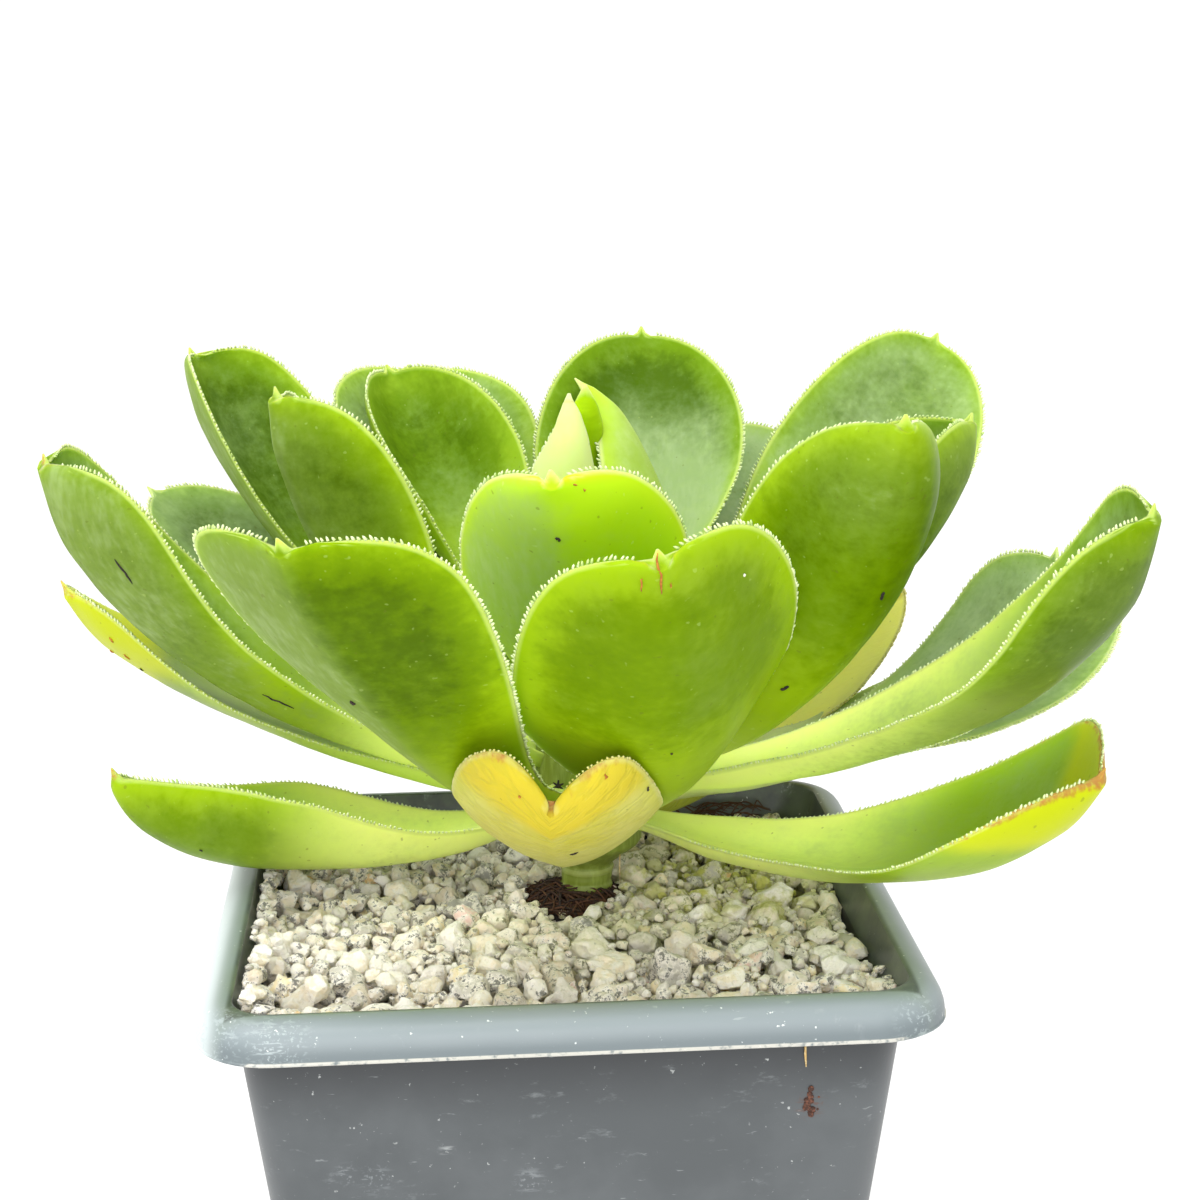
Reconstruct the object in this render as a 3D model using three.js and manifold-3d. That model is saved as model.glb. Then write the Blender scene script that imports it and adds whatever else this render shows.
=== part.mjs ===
// Potted aeonium: a rosette of fleshy leaves on a short stem, rooted in a square nursery pot.
// Millimetres, +Z up. The origin is the centre of the pot's underside, and the front looks along -Y.

import * as THREE from 'three';
import { mergeVertices } from 'three/addons/utils/BufferGeometryUtils.js';
import Module from 'manifold-3d';

// ---------------------------------------------------------------- driving dimensions

const GAP = 0.3; // clear space between neighbouring pieces

const POT = {
  height: 85,
  lipHalf: 40, // half the width over the lip
  lipHeight: 4.3,
  mouthHalf: 36, // half the width of the mouth
  baseHalf: 26,
  wall: 1.2,
  floor: 1.4,
  lipCorner: 8.5, // corner radii, seen from above
  mouthCorner: 4.5,
  wallCorner: 6,
  baseCorner: 5,
  cornerSteps: 5,
  drainRadius: 4,
  drainOffset: 14, // from the centre, along X and along Y
};

const SOIL = { top: 75.5 };

const GRIT = {
  floor: 76, // underside of the layer
  slabTop: 78.8, // the layer between the stones
  top: 81.6, // crowns of the stones
  pitch: 6.4, // from stone to stone, rounded up from the real 2 to 6 mm
  stone: 3.7, // stone radius
  seed: 11,
};

const PLUG = { x: 2.3, y: 7, radius: 6, bottom: 58.5, top: 80.2 };

const STEM = {
  bottom: 64,
  footX: 3.9, // where the stem leaves the plug
  footY: 8.2,
  crownX: 4.5, // the axis that the leaves stand round
  crownY: 8.5,
  radius: 3.15,
  crownRadius: 6.4,
  flareFrom: 84.5,
  flareTo: 88,
  taperFrom: 101,
  taperTo: 114,
  tipRadius: 1.5,
  sides: 16,
};

const LEAF = {
  rows: 11, // steps from base to tip
  cols: 2, // steps from midrib to margin
  rowBunch: 1.25, // more than 1 draws the rows together at the tip
  stemGap: 0.6,
  mucro: 2, // the short point at the tip
  mucroHalf: 0.55,
  petiole: 0.28, // width at the stalk as a share of the full width
  midThick: 1.9,
  stalkThick: 2.8,
  baseThick: 1.7,
  edgeThick: 0.7,
};

// ---------------------------------------------------------------- small helpers

const radians = THREE.MathUtils.degToRad;
const smooth = (x) => THREE.MathUtils.smoothstep(x, 0, 1);

function seededRandom(seed) {
  let state = seed;
  return () => {
    state = (state * 16807) % 2147483647;
    return state / 2147483647;
  };
}

function geometryFrom(positions, indices) {
  const geometry = new THREE.BufferGeometry();
  geometry.setAttribute('position', new THREE.Float32BufferAttribute(positions, 3));
  geometry.setIndex(indices);
  return geometry;
}

// ---------------------------------------------------------------- solids that are cut or joined

const wasm = await Module();
wasm.setup();

function solidFrom(geometry) {
  const bare = geometry.clone();
  bare.deleteAttribute('normal');
  bare.deleteAttribute('uv');
  const merged = mergeVertices(bare, 1e-4);
  return new wasm.Manifold(
    new wasm.Mesh({
      numProp: 3,
      vertProperties: new Float32Array(merged.attributes.position.array),
      triVerts: new Uint32Array(merged.index.array),
    }),
  );
}

function geometryOf(solid) {
  const mesh = solid.getMesh();
  return geometryFrom(Array.from(mesh.vertProperties), Array.from(mesh.triVerts));
}

function post(x, y, radius, from, to, sides = 20) {
  const geometry = new THREE.CylinderGeometry(radius, radius, to - from, sides);
  geometry.rotateX(Math.PI / 2);
  geometry.translate(x, y, (from + to) / 2);
  return solidFrom(geometry);
}

// ---------------------------------------------------------------- square sections with round corners

// The outline of a square with round corners, counter-clockwise from above.
function roundedSquare(half, corner, z) {
  const points = [];
  const inset = half - corner;
  const steps = POT.cornerSteps;
  for (let quarter = 0; quarter < 4; quarter += 1) {
    const cx = inset * (quarter === 0 || quarter === 3 ? 1 : -1);
    const cy = inset * (quarter < 2 ? 1 : -1);
    for (let i = 0; i <= steps; i += 1) {
      const angle = (quarter + i / steps) * (Math.PI / 2);
      points.push([cx + corner * Math.cos(angle), cy + corner * Math.sin(angle), z]);
    }
  }
  return points;
}

// A closed body whose level sections are rounded squares: the profile runs [half, corner, z]
// from the middle of the underside, out and round, back to the middle.
function squareBody(profile) {
  const rings = profile.map(([half, corner, z]) => roundedSquare(half, corner, z));
  const count = rings[0].length;
  const positions = rings.flat(2);
  const indices = [];
  for (let ring = 0; ring < rings.length - 1; ring += 1) {
    for (let i = 0; i < count; i += 1) {
      const a = ring * count + i;
      const b = ring * count + ((i + 1) % count);
      indices.push(a, b, b + count, a, b + count, a + count);
    }
  }
  const first = positions.length / 3;
  positions.push(0, 0, profile[0][2], 0, 0, profile[profile.length - 1][2]);
  const lastRing = (rings.length - 1) * count;
  for (let i = 0; i < count; i += 1) {
    const next = (i + 1) % count;
    indices.push(first, next, i);
    indices.push(first + 1, lastRing + i, lastRing + next);
  }
  return geometryFrom(positions, indices);
}

// ---------------------------------------------------------------- pot

const lipBottom = POT.height - POT.lipHeight;

// Half width of the wall's outside at a height: it tapers evenly down to the base.
function wallHalf(z) {
  const underLip = POT.mouthHalf - 0.1;
  return POT.baseHalf + ((underLip - POT.baseHalf) * z) / lipBottom;
}

function wallCornerAt(z) {
  return POT.baseCorner + ((POT.wallCorner - POT.baseCorner) * z) / lipBottom;
}

// Half width of the inside, less a clearance: straight with the wall, and opening under the lip.
function insideHalf(z, clearance = 0) {
  const straight = wallHalf(Math.min(z, lipBottom)) - POT.wall;
  const opening = Math.max(0, (z - lipBottom) / (POT.lipHeight - 0.8));
  return straight + (POT.mouthHalf - straight) * Math.min(1, opening) - clearance;
}

function makePot() {
  const skirt = POT.lipHalf - 1; // inner face of the rolled lip
  const groove = POT.height - 1.6; // how far up the roll is hollow
  const roll = POT.lipHalf - POT.mouthHalf;
  const profile = [
    [POT.baseHalf - 1, POT.baseCorner - 1, 0],
    [POT.baseHalf, POT.baseCorner, 1],
    [wallHalf(lipBottom), POT.wallCorner, lipBottom],
    [wallHalf(lipBottom) + 0.3, POT.wallCorner, groove - 0.4],
    [skirt - 1.2, POT.lipCorner - 2, groove],
    [skirt, POT.lipCorner - 1, groove - 1],
    [skirt + 0.1, POT.lipCorner - 1, lipBottom],
    [POT.lipHalf, POT.lipCorner, lipBottom],
  ];
  const rollSteps = 4;
  for (let i = 1; i <= rollSteps; i += 1) {
    const angle = (i / rollSteps) * (Math.PI / 2);
    const half = POT.mouthHalf + roll * Math.cos(angle) ** 0.8 + 0.3 * Math.sin(angle);
    const corner = POT.mouthCorner + ((POT.lipCorner - POT.mouthCorner) * (half - POT.mouthHalf)) / roll;
    profile.push([half, corner, lipBottom + POT.lipHeight * Math.sin(angle)]);
  }
  profile.push([POT.mouthHalf, POT.mouthCorner, POT.height - 0.8]);
  profile.push([insideHalf(lipBottom), POT.wallCorner - POT.wall, lipBottom]);
  profile.push([insideHalf(POT.floor), POT.baseCorner - POT.wall, POT.floor]);

  let pot = solidFrom(squareBody(profile));
  for (const [sx, sy] of [[1, 1], [1, -1], [-1, 1], [-1, -1]]) {
    const hole = post(sx * POT.drainOffset, sy * POT.drainOffset, POT.drainRadius, -1, POT.floor + 1, 16);
    pot = pot.subtract(hole);
  }
  return geometryOf(pot);
}

// ---------------------------------------------------------------- growing mix and plug

function fillBody(from, to, clearance) {
  const levels = [from, Math.max(from, Math.min(to, lipBottom)), to];
  const profile = levels
    .filter((z, i) => i === 0 || z > levels[i - 1] + 0.01)
    .map((z) => [insideHalf(z, clearance), wallCornerAt(Math.min(z, lipBottom)) - POT.wall, z]);
  return solidFrom(squareBody(profile));
}

function makeSoil() {
  const body = fillBody(POT.floor + GAP, SOIL.top, GAP);
  const plugHole = post(PLUG.x, PLUG.y, PLUG.radius + GAP, PLUG.bottom - GAP, SOIL.top + 1);
  return geometryOf(body.subtract(plugHole));
}

function makePlug() {
  const random = seededRandom(5);
  const sides = 14;
  const rim = PLUG.radius;
  const profile = [
    [0, PLUG.bottom],
    [rim - 0.4, PLUG.bottom],
    [rim - 0.1, PLUG.bottom + 0.5],
    [rim - 0.1, PLUG.top - 1.5],
    [rim - 0.9, PLUG.top - 0.5],
    [rim - 2.4, PLUG.top],
    [0, PLUG.top],
  ];
  const geometry = new THREE.LatheGeometry(profile.map(([r, z]) => new THREE.Vector2(r, z)), sides);
  geometry.rotateX(Math.PI / 2);
  geometry.translate(PLUG.x, PLUG.y, 0);
  geometry.deleteAttribute('normal');
  geometry.deleteAttribute('uv');
  const lumpy = mergeVertices(geometry, 1e-3);
  const place = lumpy.attributes.position;
  for (let i = 0; i < place.count; i += 1) {
    const lift = place.getZ(i) > PLUG.top - 1 ? 0.5 * (random() - 0.5) : 0;
    place.setZ(i, place.getZ(i) + lift);
  }
  const hole = post(STEM.footX, STEM.footY, STEM.radius + GAP, STEM.bottom - GAP, PLUG.top + 3, 18);
  return geometryOf(solidFrom(lumpy).subtract(hole));
}

// ---------------------------------------------------------------- grit

// The stones lie a little higher in the middle and slump in the far right corner.
function gritLevel(x, y) {
  const slump = Math.exp(-((x - 30) ** 2 + (y - 32) ** 2) / 110);
  return 0.4 * Math.sin(x / 9 + 1) * Math.cos(y / 11) - 1.6 * slump;
}

function makeStone(x, y, random) {
  const size = GRIT.stone * (0.72 + 0.4 * random());
  const stone = new THREE.IcosahedronGeometry(size, 0);
  stone.scale(1, 0.75 + 0.3 * random(), 0.7 + 0.25 * random());
  stone.rotateX(random() * Math.PI);
  stone.rotateZ(random() * Math.PI);
  const z = GRIT.top - size * 0.85 + gritLevel(x, y) + 0.5 * (random() - 0.5);
  stone.translate(x, y, z);
  return solidFrom(stone);
}

function makeGrit() {
  const random = seededRandom(GRIT.seed);
  const reach = POT.mouthHalf - 2.2;
  const rowStep = GRIT.pitch * Math.sin(Math.PI / 3);
  const rows = Math.floor(reach / rowStep);
  let layer = fillBody(GRIT.floor, GRIT.slabTop, GAP);
  for (let row = -rows; row <= rows; row += 1) {
    const shift = row % 2 === 0 ? 0 : GRIT.pitch / 2;
    for (let x = -reach + shift; x <= reach; x += GRIT.pitch) {
      const px = x + (random() - 0.5);
      const py = row * rowStep + (random() - 0.5);
      layer = layer.add(makeStone(px, py, random));
    }
  }
  const room = fillBody(GRIT.floor, POT.height, GAP + 0.1);
  const plugHole = post(PLUG.x, PLUG.y, PLUG.radius + GAP, GRIT.floor - 1, POT.height, 18);
  return geometryOf(layer.intersect(room).subtract(plugHole));
}

// ---------------------------------------------------------------- stem

// Radius of the stem at a height: thin below, wider where the leaves stand, and pointed at the top.
function stemRadius(z) {
  const flare = smooth((z - STEM.flareFrom) / (STEM.flareTo - STEM.flareFrom));
  const wide = STEM.radius + (STEM.crownRadius - STEM.radius) * flare;
  const taper = Math.min(1, Math.max(0, (z - STEM.taperFrom) / (STEM.taperTo - STEM.taperFrom)));
  return wide + (STEM.tipRadius - STEM.crownRadius) * taper;
}

function makeStem() {
  const lean = (z) => smooth((z - PLUG.top) / (STEM.flareTo - PLUG.top));
  const scar = 0.25; // rings left where old leaves dropped off
  const levels = [
    [STEM.bottom, 0],
    [80.5, 0],
    [81.5, 0],
    [81.9, scar],
    [82.3, 0],
    [83.6, 0],
    [84, scar],
    [84.5, 0],
    [85.6, 0],
    [86.8, 0],
    [STEM.flareTo, 0],
    [STEM.taperFrom, 0],
    [107.5, 0],
    [STEM.taperTo, 0],
  ];
  const positions = [];
  const indices = [];
  const sides = STEM.sides;
  for (const [z, swell] of levels) {
    const cx = STEM.footX + (STEM.crownX - STEM.footX) * lean(z);
    const cy = STEM.footY + (STEM.crownY - STEM.footY) * lean(z);
    const radius = stemRadius(z) + swell;
    for (let i = 0; i < sides; i += 1) {
      const angle = (i / sides) * Math.PI * 2;
      positions.push(cx + radius * Math.cos(angle), cy + radius * Math.sin(angle), z);
    }
  }
  for (let ring = 0; ring < levels.length - 1; ring += 1) {
    for (let i = 0; i < sides; i += 1) {
      const a = ring * sides + i;
      const b = ring * sides + ((i + 1) % sides);
      indices.push(a, b, b + sides, a, b + sides, a + sides);
    }
  }
  const foot = positions.length / 3;
  positions.push(STEM.footX, STEM.footY, STEM.bottom);
  positions.push(STEM.crownX, STEM.crownY, STEM.taperTo + STEM.tipRadius * 0.6);
  const top = (levels.length - 1) * sides;
  for (let i = 0; i < sides; i += 1) {
    const next = (i + 1) % sides;
    indices.push(foot, next, i);
    indices.push(foot + 1, top + i, top + next);
  }
  return geometryFrom(positions, indices);
}

// ---------------------------------------------------------------- leaves

// Half width along the leaf as a share of its greatest half width: a narrow stalk, widest at
// `widest`, and a rounded end whose fullness grows as `blunt` falls.
function leafOutline(x, widest, blunt) {
  if (x < widest) {
    const stalk = LEAF.petiole * (0.5 + 0.5 * smooth(x / 0.18));
    return stalk + (1 - LEAF.petiole) * smooth((x - 0.12) / (widest - 0.12));
  }
  const t = Math.min(1, (x - widest) / (1 - widest));
  return Math.max(0, 1 - t ** 2.2) ** blunt;
}

function leafThickness(s) {
  const stalk = LEAF.baseThick + (LEAF.stalkThick - LEAF.baseThick) * smooth(s / 0.18);
  const blade = stalk - (LEAF.stalkThick - LEAF.midThick) * smooth((s - 0.2) / 0.4);
  return s > 0.85 ? blade * (1 - 0.55 * smooth((s - 0.85) / 0.15)) : blade;
}

// The upper face of a leaf as rows of points from base to tip, each from the right margin over
// the midrib to the left margin. The midrib climbs from `rise` to `riseEnd` and swings sideways
// by `sway`; each row is bent into a trough by `fold` at the midrib and `cup` along its halves.
function leafFace(leaf) {
  const heading = radians(leaf.heading);
  const stand = stemRadius(leaf.height) + LEAF.stemGap;
  const midrib = new THREE.Vector3(
    STEM.crownX + stand * Math.cos(heading),
    STEM.crownY + stand * Math.sin(heading),
    leaf.height,
  );
  const mucroShare = LEAF.mucro / leaf.length;
  const rows = [];
  let before = null;
  let sBefore = 0;
  for (let row = 0; row <= LEAF.rows; row += 1) {
    const s = 1 - (1 - row / LEAF.rows) ** LEAF.rowBunch;
    const climb = radians(leaf.rise + (leaf.riseEnd - leaf.rise) * s ** leaf.bend);
    const turn = heading + radians(leaf.sway) * s ** 1.5;
    const along = new THREE.Vector3(
      Math.cos(climb) * Math.cos(turn),
      Math.cos(climb) * Math.sin(turn),
      Math.sin(climb),
    );
    if (before) {
      midrib.addScaledVector(before.clone().add(along), ((s - sBefore) * leaf.length) / 2);
    }
    before = along;
    sBefore = s;

    const level = new THREE.Vector3(-Math.sin(turn), Math.cos(turn), 0);
    const across = level.applyAxisAngle(along, radians(leaf.twist * s));
    const up = along.clone().cross(across);
    const x = Math.min(1, s / (1 - mucroShare));
    const blade = (leaf.width / 2) * leafOutline(x, leaf.widest, leaf.blunt);
    const point = LEAF.mucroHalf * Math.min(1, (1 - s) / mucroShare);
    const half = Math.max(blade, point);
    const opening = 0.4 + 0.6 * smooth(s / 0.5);
    const fold = radians(leaf.fold) * opening;
    const cup = radians(leaf.cup) * opening;

    const points = [];
    for (let col = -LEAF.cols; col <= LEAF.cols; col += 1) {
      const u = Math.abs(col) / LEAF.cols;
      const side = (half * (Math.sin(fold + cup * u) - Math.sin(fold))) / cup;
      const lift = (half * (Math.cos(fold) - Math.cos(fold + cup * u))) / cup;
      points.push(midrib.clone().addScaledVector(across, side * Math.sign(col)).addScaledVector(up, lift));
    }
    rows.push({ s, half, points });
  }
  return rows;
}

// The direction that the upper face looks at one of its points.
function faceNormal(rows, row, col) {
  const last = rows.length - 1;
  const width = rows[row].points.length - 1;
  const ahead = rows[Math.min(last, row + 1)].points[col];
  const behind = rows[Math.max(0, row - 1)].points[col];
  const left = rows[row].points[Math.min(width, col + 1)];
  const right = rows[row].points[Math.max(0, col - 1)];
  return ahead.clone().sub(behind).cross(left.clone().sub(right)).normalize();
}

function makeLeaf(leaf) {
  const rows = leafFace(leaf);
  const width = LEAF.cols * 2 + 1;
  const upper = [];
  const lower = [];
  rows.forEach(({ s, half, points }, row) => {
    points.forEach((point, col) => {
      const u = Math.abs(col - LEAF.cols) / LEAF.cols;
      const full = LEAF.edgeThick + (leafThickness(s) - LEAF.edgeThick) * (1 - u ** 1.6);
      const thick = Math.min(full, 0.5 + 1.2 * half);
      upper.push(point.x, point.y, point.z);
      const under = point.clone().addScaledVector(faceNormal(rows, row, col), -thick);
      lower.push(under.x, under.y, under.z);
    });
  });

  const indices = [];
  const below = rows.length * width;
  for (let row = 0; row < rows.length - 1; row += 1) {
    for (let col = 0; col < width - 1; col += 1) {
      const a = row * width + col;
      const b = a + 1;
      const c = a + width;
      const d = c + 1;
      indices.push(a, c, d, a, d, b);
      indices.push(below + a, below + d, below + c, below + a, below + b, below + d);
    }
  }
  // The rim, once round the leaf: along the right margin, over the tip, back and across the base.
  const tipRow = rows.length - 1;
  const rim = [
    ...rows.map((_, row) => row * width),
    ...Array.from({ length: width - 1 }, (_, col) => tipRow * width + col + 1),
    ...Array.from({ length: tipRow }, (_, row) => (tipRow - row) * width - 1),
    ...Array.from({ length: width - 2 }, (_, col) => width - 2 - col),
  ];
  rim.forEach((a, i) => {
    const b = rim[(i + 1) % rim.length];
    indices.push(a, below + b, b, a, below + a, below + b);
  });
  return geometryFrom([...upper, ...lower], indices);
}

// Each leaf by its place in the rosette, lowest first: where it stands on the stem (heading from +X
// towards +Y in degrees, height in mm), its size in mm, its climb from base to tip and how late it
// bends, and its trough, twist and sideways swing in degrees.
const LEAVES = [
  { name: 'leaf_yellow_back', colour: 'yellow', heading: 52, height: 89,
    length: 69, width: 25, rise: -3, riseEnd: 42, bend: 1.4, fold: 8,
    cup: 18, twist: -8, sway: -13, widest: 0.64, blunt: 0.55 },
  { name: 'leaf_low_left', colour: 'green', heading: -176, height: 91,
    length: 55, width: 31, rise: -9, riseEnd: 70, bend: 2.8, fold: 23,
    cup: 11, twist: 22, sway: 12, widest: 0.58, blunt: 0.7 },
  { name: 'leaf_low_right', colour: 'green', heading: -33, height: 91.5,
    length: 67, width: 32, rise: -6, riseEnd: 53, bend: 1.7, fold: 17,
    cup: 6, twist: 19, sway: -26, widest: 0.82, blunt: 0.65 },
  { name: 'leaf_hidden_back_1', colour: 'green', heading: 77, height: 91.5,
    length: 69, width: 28, rise: 12, riseEnd: 38, bend: 0.8, fold: 8,
    cup: 12, twist: 13, sway: 0, widest: 0.68, blunt: 0.5 },
  { name: 'leaf_pale_right', colour: 'grey', heading: 25, height: 92,
    length: 74, width: 28, rise: 5, riseEnd: 26, bend: 1.6, fold: 6,
    cup: 6, twist: 21, sway: -15, widest: 0.62, blunt: 0.65 },
  { name: 'leaf_hidden_back_3', colour: 'green', heading: 120, height: 93,
    length: 70, width: 27, rise: -9, riseEnd: 30, bend: 1.5, fold: 23,
    cup: 18, twist: 5, sway: 0, widest: 0.68, blunt: 0.5 },
  { name: 'leaf_yellow_front', colour: 'yellow', heading: -101, height: 93.5,
    length: 48, width: 26, rise: -5, riseEnd: 53, bend: 1.1, fold: 5,
    cup: 32, twist: -2, sway: 8, widest: 0.76, blunt: 0.25 },
  { name: 'leaf_yellow_tip_left', colour: 'green', heading: 168, height: 93.5,
    length: 64, width: 26, rise: 14, riseEnd: 55, bend: 2.3, fold: 3,
    cup: 8, twist: 5, sway: 31, widest: 0.74, blunt: 0.5 },
  { name: 'leaf_grey_back', colour: 'grey', heading: 62, height: 94,
    length: 74, width: 29, rise: 21, riseEnd: 33, bend: 1.2, fold: 12,
    cup: 14, twist: 21, sway: -3, widest: 0.7, blunt: 0.45 },
  { name: 'leaf_back_right', colour: 'grey', heading: 0, height: 94.5,
    length: 62, width: 27, rise: 6, riseEnd: 76, bend: 2.1, fold: 2,
    cup: 4, twist: 10, sway: 10, widest: 0.82, blunt: 0.4 },
  { name: 'leaf_grey_left', colour: 'grey', heading: 134, height: 95.5,
    length: 70, width: 29, rise: 16, riseEnd: 37, bend: 1.2, fold: 6,
    cup: 5, twist: -10, sway: 31, widest: 0.62, blunt: 0.5 },
  { name: 'leaf_outer_right', colour: 'green', heading: -32, height: 96,
    length: 82, width: 28, rise: 16, riseEnd: 74, bend: 2.6, fold: 25,
    cup: 5, twist: 36, sway: -35, widest: 0.86, blunt: 0.4 },
  { name: 'leaf_front_left', colour: 'green', heading: -116, height: 96,
    length: 79, width: 30, rise: 7, riseEnd: 53, bend: 0.7, fold: 13,
    cup: 6, twist: 1, sway: -3, widest: 0.86, blunt: 0.3 },
  { name: 'leaf_outer_left', colour: 'green', heading: -177, height: 96.5,
    length: 74, width: 31, rise: 16, riseEnd: 76, bend: 1.8, fold: 24,
    cup: 7, twist: -14, sway: 34, widest: 0.8, blunt: 0.3 },
  { name: 'leaf_tall_back_right', colour: 'green', heading: 39, height: 96.5,
    length: 81, width: 27, rise: 25, riseEnd: 46, bend: 1.1, fold: 12,
    cup: 15, twist: 40, sway: 13, widest: 0.66, blunt: 0.5 },
  { name: 'leaf_hidden_back_2', colour: 'green', heading: 91, height: 98,
    length: 62, width: 27, rise: 22, riseEnd: 42, bend: 1.3, fold: 18,
    cup: 22, twist: 0, sway: 0, widest: 0.68, blunt: 0.5 },
  { name: 'leaf_front_right', colour: 'green', heading: -77, height: 98,
    length: 72, width: 34, rise: -2, riseEnd: 60, bend: 0.7, fold: 23,
    cup: 6, twist: 28, sway: -35, widest: 0.6, blunt: 0.25 },
  { name: 'leaf_tall_back_left', colour: 'green', heading: 139, height: 99,
    length: 74, width: 28, rise: 15, riseEnd: 66, bend: 1.1, fold: 23,
    cup: 12, twist: 3, sway: 12, widest: 0.74, blunt: 0.25 },
  { name: 'leaf_inner_right', colour: 'green', heading: 8, height: 99,
    length: 60, width: 30, rise: 24, riseEnd: 68, bend: 1.6, fold: 42,
    cup: 21, twist: -3, sway: 22, widest: 0.7, blunt: 0.45 },
  { name: 'leaf_upper_left', colour: 'green', heading: -169, height: 99.5,
    length: 56, width: 28, rise: 29, riseEnd: 80, bend: 0.8, fold: 25,
    cup: 23, twist: 9, sway: 7, widest: 0.68, blunt: 0.4 },
  { name: 'leaf_upper_right', colour: 'green', heading: -53, height: 100.5,
    length: 67, width: 32, rise: 15, riseEnd: 87, bend: 1.3, fold: 29,
    cup: 42, twist: -26, sway: 0, widest: 0.7, blunt: 0.35 },
  { name: 'leaf_back_left_outer', colour: 'green', heading: 118, height: 101.5,
    length: 68, width: 31, rise: 33, riseEnd: 33, bend: 1.3, fold: 26,
    cup: 5, twist: 4, sway: -24, widest: 0.72, blunt: 0.7 },
  { name: 'leaf_heart_right', colour: 'green', heading: -1, height: 101.5,
    length: 45, width: 20, rise: 58, riseEnd: 126, bend: 0.7, fold: 21,
    cup: 14, twist: 10, sway: -3, widest: 0.66, blunt: 0.45 },
  { name: 'leaf_front_centre', colour: 'green', heading: -94, height: 103,
    length: 51, width: 29, rise: 30, riseEnd: 63, bend: 0.8, fold: 11,
    cup: 35, twist: 8, sway: -16, widest: 0.56, blunt: 0.4 },
  { name: 'leaf_tall_back', colour: 'green', heading: 73, height: 103.5,
    length: 63, width: 30, rise: 31, riseEnd: 54, bend: 1.4, fold: 12,
    cup: 23, twist: 6, sway: 14, widest: 0.64, blunt: 0.55 },
  { name: 'leaf_back_left', colour: 'green', heading: 122, height: 105,
    length: 56, width: 27, rise: 33, riseEnd: 50, bend: 1.4, fold: 29,
    cup: 35, twist: -8, sway: -7, widest: 0.66, blunt: 0.6 },
  { name: 'leaf_heart_left', colour: 'green', heading: -101, height: 107.5,
    length: 39, width: 12, rise: 59, riseEnd: 101, bend: 1.4, fold: 38,
    cup: 33, twist: 28, sway: 5, widest: 0.7, blunt: 0.65 },
  { name: 'leaf_heart_bud', colour: 'green', heading: -90, height: 112.5,
    length: 27, width: 9, rise: 94, riseEnd: 75, bend: 1.4, fold: 32,
    cup: 38, twist: -2, sway: -3, widest: 0.7, blunt: 0.45 },
];

// ---------------------------------------------------------------- materials

function finish(color, roughness, metalness = 0) {
  return new THREE.MeshStandardMaterial({ color, roughness, metalness });
}

const FINISHES = {
  pot: finish('#757d84', 0.45),
  soil: finish('#3a2a20', 0.95),
  plug: finish('#3b2418', 0.95),
  grit: finish('#cfc9bb', 0.85),
  stem: finish('#a9bf6a', 0.5),
  green: finish('#7fae35', 0.45),
  grey: finish('#8aa867', 0.6),
  yellow: finish('#d2cf5c', 0.5),
};

// ---------------------------------------------------------------- assembly

const plant = new THREE.Group();

function addPiece(name, geometry, material) {
  geometry.computeVertexNormals();
  const mesh = new THREE.Mesh(geometry, material);
  mesh.name = name;
  plant.add(mesh);
}

addPiece('pot', makePot(), FINISHES.pot);
addPiece('soil', makeSoil(), FINISHES.soil);
addPiece('coir_plug', makePlug(), FINISHES.plug);
addPiece('grit', makeGrit(), FINISHES.grit);
addPiece('stem', makeStem(), FINISHES.stem);
for (const leaf of LEAVES) {
  addPiece(leaf.name, makeLeaf(leaf), FINISHES[leaf.colour]);
}

export default plant;
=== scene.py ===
# Potted aeonium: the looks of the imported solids. Blender's lengths are metres, and the sizes
# below are millimetres, so every point is multiplied by MM when its mesh is made.
import math

import bmesh
import bpy
import numpy as np
from mathutils import Matrix, Vector


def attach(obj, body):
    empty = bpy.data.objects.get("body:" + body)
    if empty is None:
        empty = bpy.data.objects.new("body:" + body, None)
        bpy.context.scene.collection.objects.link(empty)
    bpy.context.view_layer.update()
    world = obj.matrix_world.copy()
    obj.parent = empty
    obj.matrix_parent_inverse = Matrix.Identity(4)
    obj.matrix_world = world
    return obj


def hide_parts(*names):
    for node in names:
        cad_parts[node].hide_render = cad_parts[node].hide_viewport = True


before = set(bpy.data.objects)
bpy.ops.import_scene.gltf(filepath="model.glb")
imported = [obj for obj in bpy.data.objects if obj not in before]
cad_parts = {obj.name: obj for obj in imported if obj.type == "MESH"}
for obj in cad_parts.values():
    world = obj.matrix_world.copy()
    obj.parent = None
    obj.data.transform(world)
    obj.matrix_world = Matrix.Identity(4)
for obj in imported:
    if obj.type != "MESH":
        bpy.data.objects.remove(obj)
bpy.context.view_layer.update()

MM = 0.001
BODY = "root"

# ---------------------------------------------------------------- sizes shared with the solids, mm

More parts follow.
